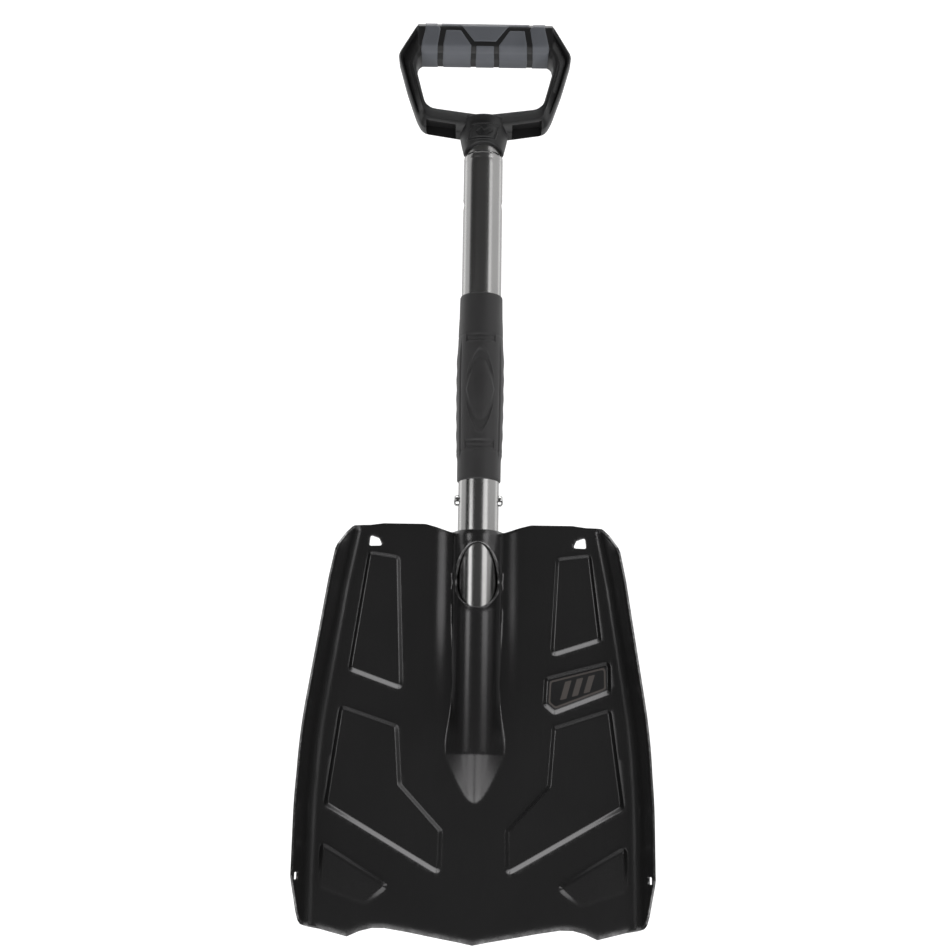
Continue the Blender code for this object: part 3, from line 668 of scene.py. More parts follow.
def slot_loop(side, grow=0.0):
    """Small slot through the flange, for a strap."""
    out, half, low, high = SLOT
    q = BEND_Q + out
    left, right = q - half - grow, q + half + grow
    low, high = low - grow, high + grow
    box = [(left, low), (right, low), (right, high), (left, high)]
    return [(side * a, z) for a, z in rounded(box, 1.0 + grow, 3)]


def lash_loop(side, grow=0.0):
    """Small hole near the top corner, for a cord."""
    points = LASH if side > 0 else mirrored(LASH)
    return to_layout(rounded(inset(points, -grow), 1.4 + grow, 4))


def layout_grid(q_stations, levels):
    """Every pair of a layout position and a height."""
    q, z = np.meshgrid(np.asarray(q_stations), np.asarray(levels))
    return np.stack([q.ravel(), z.ravel()], axis=1)


def emboss_height(flat):
    """How far each layout point is pressed forward by the raised panels."""
    height = np.zeros(len(flat))
    for points, fades in PANELS:
        loop = panel_loop(points, 0.0)
        depth = distance_to(flat, to_layout(refine(loop, 3.0)))
        slope = np.clip((depth + SHOULDER_OUT) / (WALL + SHOULDER_OUT), 0.0, 1.0)
        rise = lerp(slope, smooth(0.0, 1.0, slope), WALL_ROUND)
        if fades:
            side = 1.0 if points[0][0] > 0.0 else -1.0
            a, b = Vector(CORNER[2]), Vector(CORNER[3])
            a.x, b.x = layout_q(a.x, a.y), layout_q(b.x, b.y)
            d = (b - a).normalized()
            off = (flat[:, 1] - a.y) * d.x - (flat[:, 0] * side - a.x) * d.y
            rise = rise * np.clip(off / CORNER_FADE, 0.0, 1.0)
        height = np.maximum(height, EMBOSS * rise)
    return height


def blade_grid(outline, around_holes):
    """Free points of the layout, kept clear of its edges and of the panels' walls."""
    half = np.concatenate([np.arange(0.0, 39.0, 1.5), [40.0],
                           SPAN_RIDGE + np.arange(3.6, SPAN_WING, 3.6),
                           BEND_Q + np.arange(0.0, 26.0, 1.6)])
    stations = np.concatenate([-half[::-1], half[1:]])
    free = np.concatenate([layout_grid(stations, np.arange(3.0, 282.0, 3.0)),
                           layout_grid(np.arange(-39.6, 40.0, 0.9),
                                       np.arange(88.0, 172.0, 1.5))])
    clear = distance_to(free, outline) > 1.5
    for hole in around_holes:
        clear &= distance_to(free, hole) < -0.8
    for points, _ in PANELS:
        gap = distance_to(free, to_layout(panel_loop(points, 0.0)))
        clear &= (gap < -SHOULDER_OUT - 0.9) | (gap > WALL + 1.6)
    free = free[clear]
    cells = np.unique((free / 0.4).round().astype(int), axis=0, return_index=True)[1]
    return free[np.sort(cells)]


def build_blade(mat):
    """The pressed sheet: a layout triangulated flat, then folded, pressed and thickened."""
    outline = blade_outline()
    small = [(loop, side) for loop in (lash_loop, slot_loop) for side in (1.0, -1.0)]
    holes = [teardrop()] + [loop(side) for loop, side in small]
    guides = [inset(outline, 0.55)] + [teardrop(g) for g in (0.5, 1.3, 2.4)]
    guides += [loop(side, 0.5) for loop, side in small]
    contours = []
    for points, _ in PANELS:
        for d in (-SHOULDER_OUT, 0.0, 0.8, 1.6, 2.4, WALL, WALL + 0.7):
            contours.append(to_layout(refine(panel_loop(points, d), EDGE_STEP)))

    def keep(mids):
        stay = distance_to(mids, outline) > 0.0
        for hole in holes:
            stay &= distance_to(mids, hole) < 0.0
        return stay

    flat, tris = triangulate([outline] + holes + guides + contours,
                             blade_grid(outline, guides[3:]), keep)
    q, z = flat[:, 0], flat[:, 1]
    normal = face_normals(q, z)
    place = face_points(q, z) + normal * emboss_height(flat)[:, None]
    rim = np.abs(distance_to(flat, outline))
    for hole in holes:
        rim = np.minimum(rim, np.abs(distance_to(flat, hole)))
    oval = np.abs(distance_to(flat, teardrop()))
    lift = OVAL_LIFT * window(oval, 0.0, 0.9, 0.9, 2.2)
    lip = to_layout(refine(LIP, 4.0, closed=False))
    lip = [(-a, b) for a, b in lip[:0:-1]] + lip
    ground = distance_to(flat, lip, closed=False)
    deep, wide = LIP_BEVEL
    bevel = deep * (1.0 - smooth(0.0, 1.0, ground / wide) ** 0.8) * (ground < wide)
    chamfer = EDGE_CHAMFER * (1.0 - smooth(-0.2, 0.5, rim))
    front = place + normal * (lift - np.maximum(chamfer, bevel))[:, None]
    back = place - normal * (SHEET - chamfer * 0.8)[:, None]
    wear = np.maximum(np.clip(1.0 - rim / 1.6, 0.0, 1.0),
                      np.clip(1.1 - ground / 3.4, 0.0, 1.0))
    make_piece("shovel_blade", *two_sided(front, back, tris), mat, "blade", "blade_sheet",
               ["blade"], angle=40.0, mark=np.concatenate([wear, wear]))


def heightfield(outline, spacing, place, lift, low, lines=(), margin=None, soft=0.3):
    """A closed plate over an outline, as vertices, faces, flat points and triangles.

    place(u, v, height) gives the points of both faces, and lines are loops that the
    triangles keep to."""
    lowest, highest = np.min(outline, axis=0), np.max(outline, axis=0)
    free = layout_grid(*(np.arange(lowest[i] + spacing / 2, highest[i], spacing)
                         for i in (0, 1)))
    free = free[distance_to(free, outline) > (margin or spacing * 0.6)]
    loops = [refine(loop, spacing) for loop in (outline, *lines)]
    for loop in loops[1:]:
        free = free[np.abs(distance_to(free, loop)) > 0.35]
    if not lines:
        loops.append(inset(loops[0], 0.3))
    flat, tris = triangulate(loops, free, lambda mids: distance_to(mids, outline) > 0.0)
    edge = np.abs(distance_to(flat, outline))
    top = place(flat[:, 0], flat[:, 1], lift(flat) - 0.25 * (1.0 - smooth(0.0, soft, edge)))
    under = place(flat[:, 0], flat[:, 1], np.full(len(flat), low))
    return *two_sided(top, under, tris), flat, tris


def diamond(centre, wide, high, lean):
    """A four-cornered mark whose top leans to the right."""
    cx, cz = centre
    return [(cx - wide, cz), (cx + lean, cz + high), (cx + wide, cz), (cx - lean, cz - high)]


def build_blade_badge(mats):
    """Thin plate on the raised pad: a printed border and a plain mark of three bars."""
    plate = rounded(inset(EMBLEM, WALL + 0.15), 1.6, 4)
    border = rounded(inset(EMBLEM, WALL + 0.75), 2.4, 5)
    border_in = rounded(inset(EMBLEM, WALL + 1.95), 1.8, 5)
    bars = [[(x - 3.0, 163.2 + 0.3 * (x - 69.0)), (x + 1.4, 164.4 + 0.3 * (x - 69.0)),
             (x + 5.0, 176.6 + 0.25 * (x - 69.0)), (x + 0.6, 175.4 + 0.25 * (x - 69.0))]
            for x in (60.5, 68.5, 76.5)]
    marks = [rounded(bar, 0.5, 3) for bar in bars]

    def place(u, v, height):
        q = np.array([layout_q(x, z) for x, z in zip(u, v)])
        return face_points(q, v) + face_normals(q, v) * (EMBOSS + height)[:, None]

    def printed(flat):
        ring = (distance_to(flat, border) > 0.0) & (distance_to(flat, border_in) < 0.0)
        for mark in marks:
            ring |= distance_to(flat, mark) > 0.0
        return ring

    verts, faces, flat, tris = heightfield(plate, 1.2, place, lambda f: np.full(len(f), 0.4),
                                           0.03, [border, border_in, *marks], 0.8, 0.5)
    obj = make_piece("blade_emblem", verts, faces, mats, "blade", "badge", ["blade_badge"],
                     angle=40.0)
    for face, ink in zip(obj.data.polygons, printed(flat[tris].mean(axis=1))):
        face.material_index = int(ink)


def build_socket_back(mat):
    """Rear half of the socket, a formed strip behind the ridge.

    Returns the welds' path as (z, y), halfway between the sheet's back and the strip."""
    inner, outer = OUTER_R + 0.3, OUTER_R + 1.9
    rings, welds = [], []
    turn = np.radians(np.linspace(8.0, 90.0, 18))
    low, high = CHANNEL_Z
    for z in np.linspace(low, high, 58):
        lip = max(float(socket_y(x, z)) for x in (17.6, 18.4, 19.2)) + SHEET + 0.6
        end = float(window(z, low, low + 2.0, high - 2.0, high))
        edge = [(CHANNEL_EDGE, lip), (outer + 1.5, lip),
                (inner + 0.5, min(lip + 0.5, AXIS_Y + 0.5)),
                (inner, min(lip + 1.2, AXIS_Y + 1.2))] + turned(inner, turn)
        back = turned(outer - 0.5 * (1.0 - end), turn[::-1])
        back += [(outer + 0.3, min(lip + 2.4, AXIS_Y + 2.2)), (outer + 1.2, lip + 1.7),
                 (CHANNEL_EDGE, lip + 1.6)]
        ring = edge + [(-x, y) for x, y in edge[:-1][::-1]]
        ring += [(-x, y) for x, y in back[1:][::-1]] + back
        rings.append([(x, y, z) for x, y in ring])
        welds.append((z, 0.5 * (float(socket_y(WELD_X, z)) + SHEET + lip)))
    verts, faces = loft(rings)
    channel = make_piece("socket_back", verts, faces, mat, "blade", "blade_sheet",
                         ["rear_channel"], angle=SHARP, mark=np.zeros(len(verts)))
    drill(channel, behind_axis(8.0, LOCK_Z), behind_axis(24.0, LOCK_Z), SNAP_R + 0.5)
    sharpen(channel.data, SHARP)
    return welds


def build_welds(mat, welds, steps=230):
    """A rippled bead along each edge of the channel, thinner towards its ends."""
    heights, depths = zip(*welds)
    for side, label in SIDES:
        beads = []
        for k in range(steps + 1):
            z = lerp(*WELD_Z, k / steps)
            depth = float(np.interp(z, heights, depths))
            ripple = abs(math.sin(math.pi * z / 2.1)) ** 0.6
            size = (1.15 + 0.28 * ripple) * min(1.0, 0.25 + min(k, steps - k) / 10.0)
            beads.append([(side * (WELD_X + size * 1.15 * math.cos(a)),
                           depth + size * math.sin(a), z) for a in full_turn(12)])
        make_piece("weld_seam_" + label, *loft(beads), mat, "blade", "weld",
                   ["weld_bead_" + label], angle=60.0)


# --- shaft


def drawn_tube(name, rows, count, mat, body, slot, node, worn):
    """A turned tube; worn(z) says where its edges are rubbed."""
    verts, faces = lathe_rows(rows, count)
    return make_piece(name, verts, faces, mat, body, slot, [node],
                      mark=[float(worn(z)) for x, y, z in verts])


def build_outer_tube(mat):
    """Drawn tube with a rolled rim, button holes on both sides and the lock's hole behind."""
    r, bore, z0, z1 = OUTER_R, OUTER_R - 1.4, TUBE_FOOT, 558.0
    rows = [(bore + 0.3, z0), (r - 0.3, z0), (r, z0 + 0.4)]
    rows += [(r, z) for z in np.linspace(160.0, 548.0, 50)]
    rows += [(r, z1 - 6.0), (r - 0.12, z1 - 5.5), (r - 0.12, z1 - 5.0), (r, z1 - 4.6),
             (r, z1 - 2.8), (r - 0.15, z1 - 1.6), (r - 0.5, z1 - 0.6), (r - 1.0, z1),
             (bore, z1), (bore, z0 + 0.3)]
    tube = drawn_tube("shaft_tube", rows, 112, mat, "shaft", "tube", "outer_tube",
                      lambda z: z > z1 - 1.0 or z < z0 + 0.5)
    for z in (SNAP_Z, SNAP_Z + TRAVEL):
        drill(tube, (-20.0, AXIS_Y, z), (20.0, AXIS_Y, z), SNAP_HOLE_R)
    drill(tube, behind_axis(2.0, LOCK_Z), behind_axis(22.0, LOCK_Z), SNAP_HOLE_R)
    sharpen(tube.data, SHARP)


def build_inner_tube(mat):
    """Sliding tube with the snap buttons' holes and the pin's hole."""
    r, bore, z0, z1 = INNER_R, INNER_R - 1.3, SLIDE_FOOT, 583.0
    rows = [(bore, z0), (r - 0.3, z0), (r, z0 + 0.4)]
    rows += [(r, z) for z in np.linspace(262.0, 580.0, 36)] + [(r, z1), (bore, z1)]
    tube = drawn_tube("slide_tube", rows, 96, mat, "handle", "inner_tube", "inner_tube",
                      lambda z: False)
    drill(tube, (-16.0, AXIS_Y, SNAP_Z), (16.0, AXIS_Y, SNAP_Z), SNAP_HOLE_R)
    drill(tube, behind_axis(4.0, PIN_Z), behind_axis(22.0, PIN_Z), PIN_HOLE_R, 20)
    sharpen(tube.data, SHARP)


GRIP_Z = (313.0, 449.0)
LENS = (377.2, 30.4, 43.0)     # centre height, half height and half angle of the lens motif


def bump_at(value, centre, width):
    """A smooth bump of height 1."""
    return np.exp(-((value - centre) / width) ** 2)


def grip_radius(phi, z):
    """Outer radius of the sleeve; phi is the angle from the front, positive to the right."""
    base = np.interp(z, [313.0, 330.0, 345.0, 368.0, 388.0, 408.0, 426.0, 434.0, 449.0],
                     [15.45, 15.55, 16.0, 16.35, 16.5, 16.3, 15.9, 15.55, 15.35])
    deg = np.degrees(np.minimum(np.abs(phi), math.pi - np.abs(phi)))
    # ribbed side pads, a groove along their edges and a seam above and below
    side = smooth(58.0, 64.0, deg) * window(z, 327.0, 333.0, 404.0, 413.0)
    scallop = 0.5 + 0.5 * np.cos(2.0 * math.pi * (z - 333.0) / 13.5)
    base = base + side * (0.35 + 0.3 * scallop * smooth(70.0, 84.0, deg))
    groove = bump_at(deg, 57.0, 2.0) * smooth(329.0, 334.0, z)
    base = base - 0.35 * groove * (1.0 - smooth(410.0, 417.0, z))
    base = base - 0.22 * (bump_at(z, 418.6, 0.5) + bump_at(z, 333.6, 0.5))
    # a slot with a bar in it at each end
    span = 1.0 - smooth(39.0, 41.0, deg)
    for low, high in ((412.9, 417.7), (335.3, 340.6)):
        pit = window(z, low - 0.5, low + 0.3, high - 0.3, high + 0.5) * span
        bar = bump_at(z, (low + high) / 2.0, 0.95) * (1.0 - smooth(35.0, 38.0, deg))
        base = base - 0.75 * pit + 0.45 * pit * bar
    # the lens motif
    across = deg / LENS[2]
    up = np.abs(z - LENS[0]) / LENS[1]
    shape = up + across ** 1.9
    fade = smooth(0.22, 0.5, up)
    step = smooth(0.93, 1.0, shape) - 1.0
    base = base + (0.5 * step + 0.3 * bump_at(shape, 1.02, 0.035)) * fade
    inner = up * 1.36 + (across * 1.12) ** 2.2
    swell = 1.0 - smooth(0.72, 1.0, inner)
    lip = bump_at(inner, 1.03, 0.06)
    return base + 0.5 * swell * smooth(0.0, 0.3, up + 0.3) - 0.25 * lip * fade


def build_grip(mat):
    """Rubber sleeve with ribbed side pads, two slots and a lens motif front and back."""
    phi = np.linspace(-math.pi, math.pi, 300, endpoint=False)
    low, high = GRIP_Z

    def ring(r, z):
        return [(a, b, z) for a, b in zip(r * np.sin(phi), AXIS_Y - r * np.cos(phi))]

    rings = []
    for z in np.concatenate([[low, low + 0.35, low + 1.0], np.arange(low + 1.8, high - 1.6, 0.62),
                             [high - 1.4, high - 0.5, high]]):
        edge = 1.0 - min(z - low, high - z, 1.2) / 1.2
        rings.append(ring(grip_radius(phi, z) - 0.45 * (1.0 - math.sqrt(1.0 - edge ** 2)), z))
    rings += [ring(OUTER_R + 0.05, z) for z in (high, low)]
    make_piece("grip", *loft(rings, along_closed=True), mat, "shaft", "grip", ["grip_sleeve"],
               angle=50.0)


def build_plugs(mat):
    """Moulded end plugs with a shallow moulded ring."""
    for name, r, bore, z, deep, body, node in (
            ("shaft_foot_plug", OUTER_R, 12.9, TUBE_FOOT, 8.0, "shaft", "shaft_end_plug"),
            ("slide_foot_plug", INNER_R, 11.2, SLIDE_FOOT, 6.0, "handle", "inner_tube_plug")):
        rows = [(r * 0.45, z - 2.2), (r * 0.55, z - 3.0), (r - 0.6, z - 3.0), (r - 0.15, z - 2.7),
                (r, z - 2.2), (r, z - 0.5), (r - 0.2, z - 0.3), (bore - 0.3, z - 0.3),
                (bore - 0.3, z + deep - 0.6), (bore - 0.8, z + deep)]
        make_piece(name, *lathe_rows(rows, 72, closed=False), mat, body, "plug", [node],
                   angle=32.0)


def ribbon(path, across, width=6.0, thick=0.7, steps=6):
    """A bent spring strip along a smoothed path."""
    points = [Vector(p) for p in path]
    fine = []
    for i in range(len(points) - 1):
        p0, p1 = points[max(0, i - 1)], points[i]
        p2, p3 = points[i + 1], points[min(len(points) - 1, i + 2)]
        for k in range(steps):
            t = k / steps
            fine.append(0.5 * ((2 * p1) + (p2 - p0) * t + (2 * p0 - 5 * p1 + 4 * p2 - p3) * t * t
                               + (3 * p1 - p0 - 3 * p2 + p3) * t ** 3))
    fine.append(points[-1])
    wide = Vector(across) * (width / 2.0)
    rings = []
    for i, p in enumerate(fine):
        along = (fine[min(len(fine) - 1, i + 1)] - fine[max(0, i - 1)]).normalized()
        out = along.cross(Vector(across)) * (thick / 2.0)
        rings.append([p - wide - out * 0.5, p - wide * 0.95 - out, p + wide * 0.95 - out,
                      p + wide - out * 0.5, p + wide + out * 0.5, p + wide * 0.95 + out,
                      p - wide * 0.95 + out, p - wide + out * 0.5])
    return loft(rings)


def build_springs(mat):
    """The bent strips that carry the snap buttons and the lock button."""
    arm = [(8.2, 305.5), (7.9, 293.5), (5.8, 280.0), (3.6, 270.0), (1.8, 266.6)]
    path = [(x, AXIS_Y, z) for x, z in arm] + [(0.0, AXIS_Y, 265.8)]
    path += [(-x, AXIS_Y, z) for x, z in reversed(arm)]
    make_piece("snap_spring", *ribbon(path, (0.0, 1.0, 0.0)), mat, "handle", "spring",
               ["telescope_spring"])
    path = [behind_axis(y, z) for y, z in (
        (8.8, 212.0), (8.5, 200.0), (6.2, 186.0), (2.0, 172.0), (-4.0, 166.5), (-9.5, 172.0),
        (-11.0, 188.0), (-11.4, 202.0))]
    make_piece("lock_spring", *ribbon(path, (1.0, 0.0, 0.0)), mat, "shaft", "spring",
               ["blade_lock_spring"])


def build_buttons(mat):
    """Buttons: a short cylinder with a rolled shoulder and a domed face."""
    shoulder = SNAP_R * 0.985
    dome = [(0.0, SNAP_R - 0.3), (0.03, SNAP_R), (0.70, SNAP_R), (0.76, shoulder)]
    for k in range(1, 8):
        t = math.radians(12.5 * k)
        dome.append((0.76 + 0.24 * math.sin(t), shoulder * math.cos(t) ** 0.8))
    for side, label in SIDES:
        bar = round_bar((side * 8.9, AXIS_Y, SNAP_Z), (side * 17.5, AXIS_Y, SNAP_Z), dome)
        make_piece("snap_button_" + label, *bar, mat, "snap_" + label, "button",
                   ["telescope_button_" + label], angle=35.0)
    bar = round_bar(behind_axis(9.5, LOCK_Z), behind_axis(18.65, LOCK_Z), dome)
    make_piece("lock_button", *bar, mat, "blade_lock", "button", ["blade_lock_button"])


def build_pin(mat):
    """The pin through the neck, its ends chamfered."""
    rows = [(0.0, 1.7), (0.06, 2.0), (0.9, 2.0), (0.96, 1.85), (1.0, 1.5)]
    bar = round_bar(behind_axis(9.0, PIN_Z), behind_axis(17.2, PIN_Z), rows, 28)
    make_piece("neck_pin", *bar, mat, "handle", "spring", ["handle_pin"])


# --- handle

# outer x, outer z, inner x, inner z, depth at the opening, depth of the front face,
# depth outside, share of the width where the front ridge lies, depth of the channel
D_STATIONS = [
    (50.0, 659.9, 47.0, 634.2, 10.0, 13.0, 9.5, 0.86, 0.0),
    (52.5, 656.4, 48.4, 633.4, 9.9, 13.0, 8.4, 0.84, 3.2),
    (59.0, 646.5, 50.0, 631.5, 9.6, 13.0, 6.5, 0.72, 4.6),
    (65.0, 636.5, 51.2, 625.5, 9.0, 12.5, 5.5, 0.60, 4.6),
    (57.5, 609.0, 47.2, 610.0, 8.5, 11.8, 5.0, 0.60, 3.8),
    (49.9, 586.5, 43.9, 597.6, 8.5, 12.0, 5.0, 0.55, 2.0),
    (45.3, 578.6, 39.0, 593.5, 8.5, 12.5, 6.0, 0.60, 0.4),
    (17.0, 574.5, 17.0, 590.5, 8.5, 12.5, 7.0, 0.62, 0.0),
    (0.0, 574.0, 0.0, 588.3, 8.5, 12.5, 7.0, 0.62, 0.0),
]
# the covered bar's section, as depth towards the front and height
BAR = [(0.0, 660.3), (10.0, 660.3), (13.0, 656.6), (13.0, 641.2), (9.6, 636.4), (3.5, 634.3),
       (-6.0, 634.0), (-10.3, 634.8), (-13.0, 638.8), (-13.0, 656.6), (-10.0, 660.3)]
BAR_R = [0, 2.2, 2.2, 3.2, 3.2, 6.0, 4.0, 2.6, 2.6, 2.2, 2.2]


def bar_loop(shrink=0.0, count=96):
    """The covered bar's rounded section at equal steps, from the top towards the front."""
    loop = refine(rounded(inset(BAR, shrink), BAR_R, 6), 0.25)
    pts = np.array(loop + [loop[0]])
    run = np.concatenate([[0.0], np.cumsum(np.hypot(*np.diff(pts, axis=0).T))])
    s = np.linspace(0.0, run[-1], count, endpoint=False)
    return np.stack([np.interp(s, run, pts[:, 0]), np.interp(s, run, pts[:, 1])], axis=1), run[-1]


def d_profile(station):
    """Section of the D at one station: share of the width from opening to outside, and depth."""
    ox, oz, ix, iz, near, front, far, ridge, channel = station
    e = 1.0 / math.hypot(ox - ix, oz - iz)
    rim = far + 2.2
    hollow = [(0.0, near - 1.2), (0.6 * e, near), (0.13, front - 0.5), (0.2, front),
              (0.31, front - 0.2), (0.37, front - channel), (0.74, rim - channel * 0.55),
              (0.80, rim), (1.0 - 1.6 * e, rim + 0.1), (1.0 - 0.5 * e, rim - 0.9), (1.0, far)]
    plain = [(0.0, near - 1.2), (0.6 * e, near), (0.35 * ridge, lerp(near, front, 0.4)),
             (0.6 * ridge, lerp(near, front, 0.65)), (ridge - 0.05, front - 0.25), (ridge, front),
             (lerp(ridge, 1.0, 0.2), front - 0.5), (lerp(ridge, 1.0, 0.5), lerp(front, far, 0.4)),
             (lerp(ridge, 1.0, 0.75), lerp(front, far, 0.75)), (1.0 - 0.3 * e, far),
             (1.0, far - 1.0)]
    share = float(smooth(0.0, 3.0, channel))
    half = [(lerp(a, c, share), lerp(b, d, share)) for (a, b), (c, d) in zip(plain, hollow)]
    return half + [(s, -min(d, 12.6)) for s, d in half[::-1]]


def station_ring(station):
    """3-D ring of one station."""
    ox, oz, ix, iz = station[:4]
    return [(lerp(ix, ox, s), AXIS_Y - d, lerp(iz, oz, s)) for s, d in d_profile(station)]


def soften_stations(stations):
    """Corners cut twice along the path, so that they turn in short curves."""
    rows = [np.array(s, float) for s in stations]
    for _ in range(2):
        made = [rows[0]]
        for a, b in zip(rows, rows[1:]):
            gap = math.hypot(*(b[:2] - a[:2]))
            t = min(0.25, 2.2 / gap) if gap > 1.0 else 0.25
            made += [a + (b - a) * t, b - (b - a) * t]
        rows = made + [rows[-1]]
    return rows


def build_handle(mat):
    """The D's sides and lower bar, the covered bar and the neck, in one moulding."""
    half = [station_ring(s) for s in soften_stations(D_STATIONS)]
    flipped = [[(-x, y, z) for x, y, z in ring] for ring in half[:-1]]
    frame_obj = make_piece("d_handle", *loft(half + flipped[::-1]), mat, "handle", "handle",
                           ["handle_frame"])
    loop, _ = bar_loop(COVER_DEPTH)
    bar = loft([[(x, AXIS_Y - d, z) for d, z in loop] for x in np.linspace(-50.2, 50.2, 40)])
    cut(frame_obj, *bar, operation="UNION")
    cut(frame_obj, *neck_shape(), operation="UNION")
    drill(frame_obj, behind_axis(0.0, 545.0), behind_axis(0.0, 583.4), INNER_R + 0.15, 96)
    drill(frame_obj, behind_axis(4.0, PIN_Z), behind_axis(30.0, PIN_Z), PIN_HOLE_R, 28)
    outline = rounded([(20.8, 566.0), (43.4, 566.0), (42.4, 585.4), (20.8, 583.2)],
                      [0.5, 0.5, 2.0, 2.0], 4)
    for side, _ in SIDES:
        pocket = [[(side * x, AXIS_Y - d, z) for x, z in outline] for d in (11.0, -5.5)]
        cut(frame_obj, *loft(pocket))
    sharpen(frame_obj.data, 34.0)


NECK_FOOT, NECK_TOP = 559.5, 585.8
NECK_ARCH = 4.3          # how far the lower rim arches up
COVER_DEPTH = 0.42       # how deep the covers are let into the bar


def neck_radius(z):
    """Radius of the neck at a height."""
    return np.interp(z, [559.5, 562.0, 566.0, 570.0, 575.0, 580.0, 585.0, 588.2],
                     [14.75, 15.2, 16.2, 17.1, 17.9, 18.0, 17.2, 15.6])


def neck_shape():
    """Tapered neck whose lower rim arches up at the front and back."""
    rings = []
    for k, t in enumerate(np.concatenate([[0.0, 0.012, 0.035], np.linspace(0.07, 1.0, 26)])):
        ring = []
        for a in full_turn(120):
            z = lerp(NECK_FOOT + NECK_ARCH * math.sin(a) ** 2, NECK_TOP, t)
            r = float(neck_radius(z))
            if t < 0.05:
                r = r - (0.55, 0.2, 0.0)[k]
            if t > 0.93:
                r = r - 1.4 * ((t - 0.93) / 0.07) ** 2
            ring.append((r * math.cos(a), AXIS_Y + r * math.sin(a), z))
        rings.append(ring)
    return loft(rings)


def build_neck_badge(mat):
    """Plate on the neck: an engraved border and a plain mark."""
    outline = rounded([(-12.9, 565.4), (8.6, 565.4), (12.2, 577.6), (-9.4, 577.6)], 1.2, 4)
    line_out = rounded([(-11.7, 566.4), (7.9, 566.4), (10.9, 576.6), (-8.7, 576.6)], 1.0, 4)
    line_in = rounded([(-10.2, 567.5), (7.2, 567.5), (9.4, 575.5), (-8.0, 575.5)], 0.8, 4)
    marks = [diamond((-2.6, 571.2), 3.2, 3.1, 0.9), diamond((3.4, 571.8), 3.6, 3.1, 0.9)]

    def place(u, v, height):
        r = neck_radius(v)
        y = AXIS_Y - np.sqrt(np.maximum(r * r - u * u, 1.0)) - height
        return np.stack([u, y, v], axis=1)

    def lift(flat):
        ring = smooth(0.0, 0.25, distance_to(flat, line_out))
        ring = ring * (1.0 - smooth(-0.25, 0.0, distance_to(flat, line_in)))
        for mark in marks:
            ring = np.maximum(ring, smooth(0.0, 0.25, distance_to(flat, mark)))
        return 0.55 - 0.5 * ring

    verts, faces, _, _ = heightfield(outline, 0.35, place, lift, -0.4)
    make_piece("neck_emblem", verts, faces, mat, "handle", "badge", ["handle_badge"], angle=60.0)


def build_covers(mat):
    """Six soft covers wrapped round the top bar, parted by dark grooves."""
    loop, length = bar_loop(0.0, 400)
    run = np.linspace(0.0, length, 401)
    px = np.append(loop[:, 0], loop[0, 0])
    pz = np.append(loop[:, 1], loop[0, 1])
    tangent = np.stack([np.gradient(px), np.gradient(pz)], axis=1)
    tangent /= np.linalg.norm(tangent, axis=1)[:, None]
    nd, nz = -tangent[:, 1], tangent[:, 0]
    if nz[0] < 0.0:
        nd, nz = -nd, -nz

    def place(u, v, height):
        """u runs along the bar and v round its section, from the top towards the front."""
        w = np.mod(v, length)
        d = np.interp(w, run, px) + np.interp(w, run, nd) * height
        z = np.interp(w, run, pz) + np.interp(w, run, nz) * height
        return np.stack([u, AXIS_Y - d, z], axis=1)

    def along(z):
        """Distance along the section of a height on the front face."""
        front = loop[:, 0] > 8.0
        return float(np.interp(-z, -loop[front, 1], run[:-1][front]))

    def behind(points):
        """The same points on the far half of the section."""
        return [(x, length - s) for x, s in points]

    half = length / 2.0
    kink, middle = along(654.4), along(642.0)
    inner_kink, strip, low, mark = along(653.4), along(657.2), along(644.7), along(641.0)
    outer = [(46.9, -0.01), (45.4, 2.0), (44.4, kink - 3.0), (44.6, kink), (47.2, middle),
             (48.4, half)]
    near = [(35.8, half), (35.2, middle), (33.3, kink), (35.4, along(658.0)), (36.0, -0.01)]
    end = outer + behind(outer[:-1][::-1]) + behind(near[:0:-1]) + near
    inner_pad = [(10.9, half), (10.3, middle + 0.6), (18.2, inner_kink), (29.2, inner_kink),
                 (31.0, middle), (31.6, half)]
    inner_pad += behind(inner_pad[-2:0:-1])
    top_pad = [(32.8, strip), (17.6, strip), (8.0, low), (-8.0, low), (-17.6, strip),
               (-32.8, strip)]
    top_pad += [(x, -s) for x, s in top_pad[::-1]]
    low_pad = [(6.5, mark), (6.9, half), (6.5, length - mark), (-6.5, length - mark),
               (-6.9, half), (-6.5, mark)]
    pieces = []
    for side, label in SIDES:
        for name, node, pad in (("cover_end_", "pad_outer_", end),
                                ("cover_side_", "pad_inner_", inner_pad)):
            pieces.append((name + label, node + label, [(side * x, s) for x, s in pad]))
    pieces += [("cover_middle_top", "pad_centre_top", top_pad),
               ("cover_middle_low", "pad_centre_low", low_pad)]
    for name, node, outline in pieces:
        verts, faces, _, _ = heightfield(refine(rounded(outline, 0.7, 3), 1.0), 1.15, place,
                                         lambda f: np.zeros(len(f)), -0.02 - COVER_DEPTH)
        make_piece(name, verts, faces, mat, "handle", "pad", [node], angle=50.0)


# --- studio

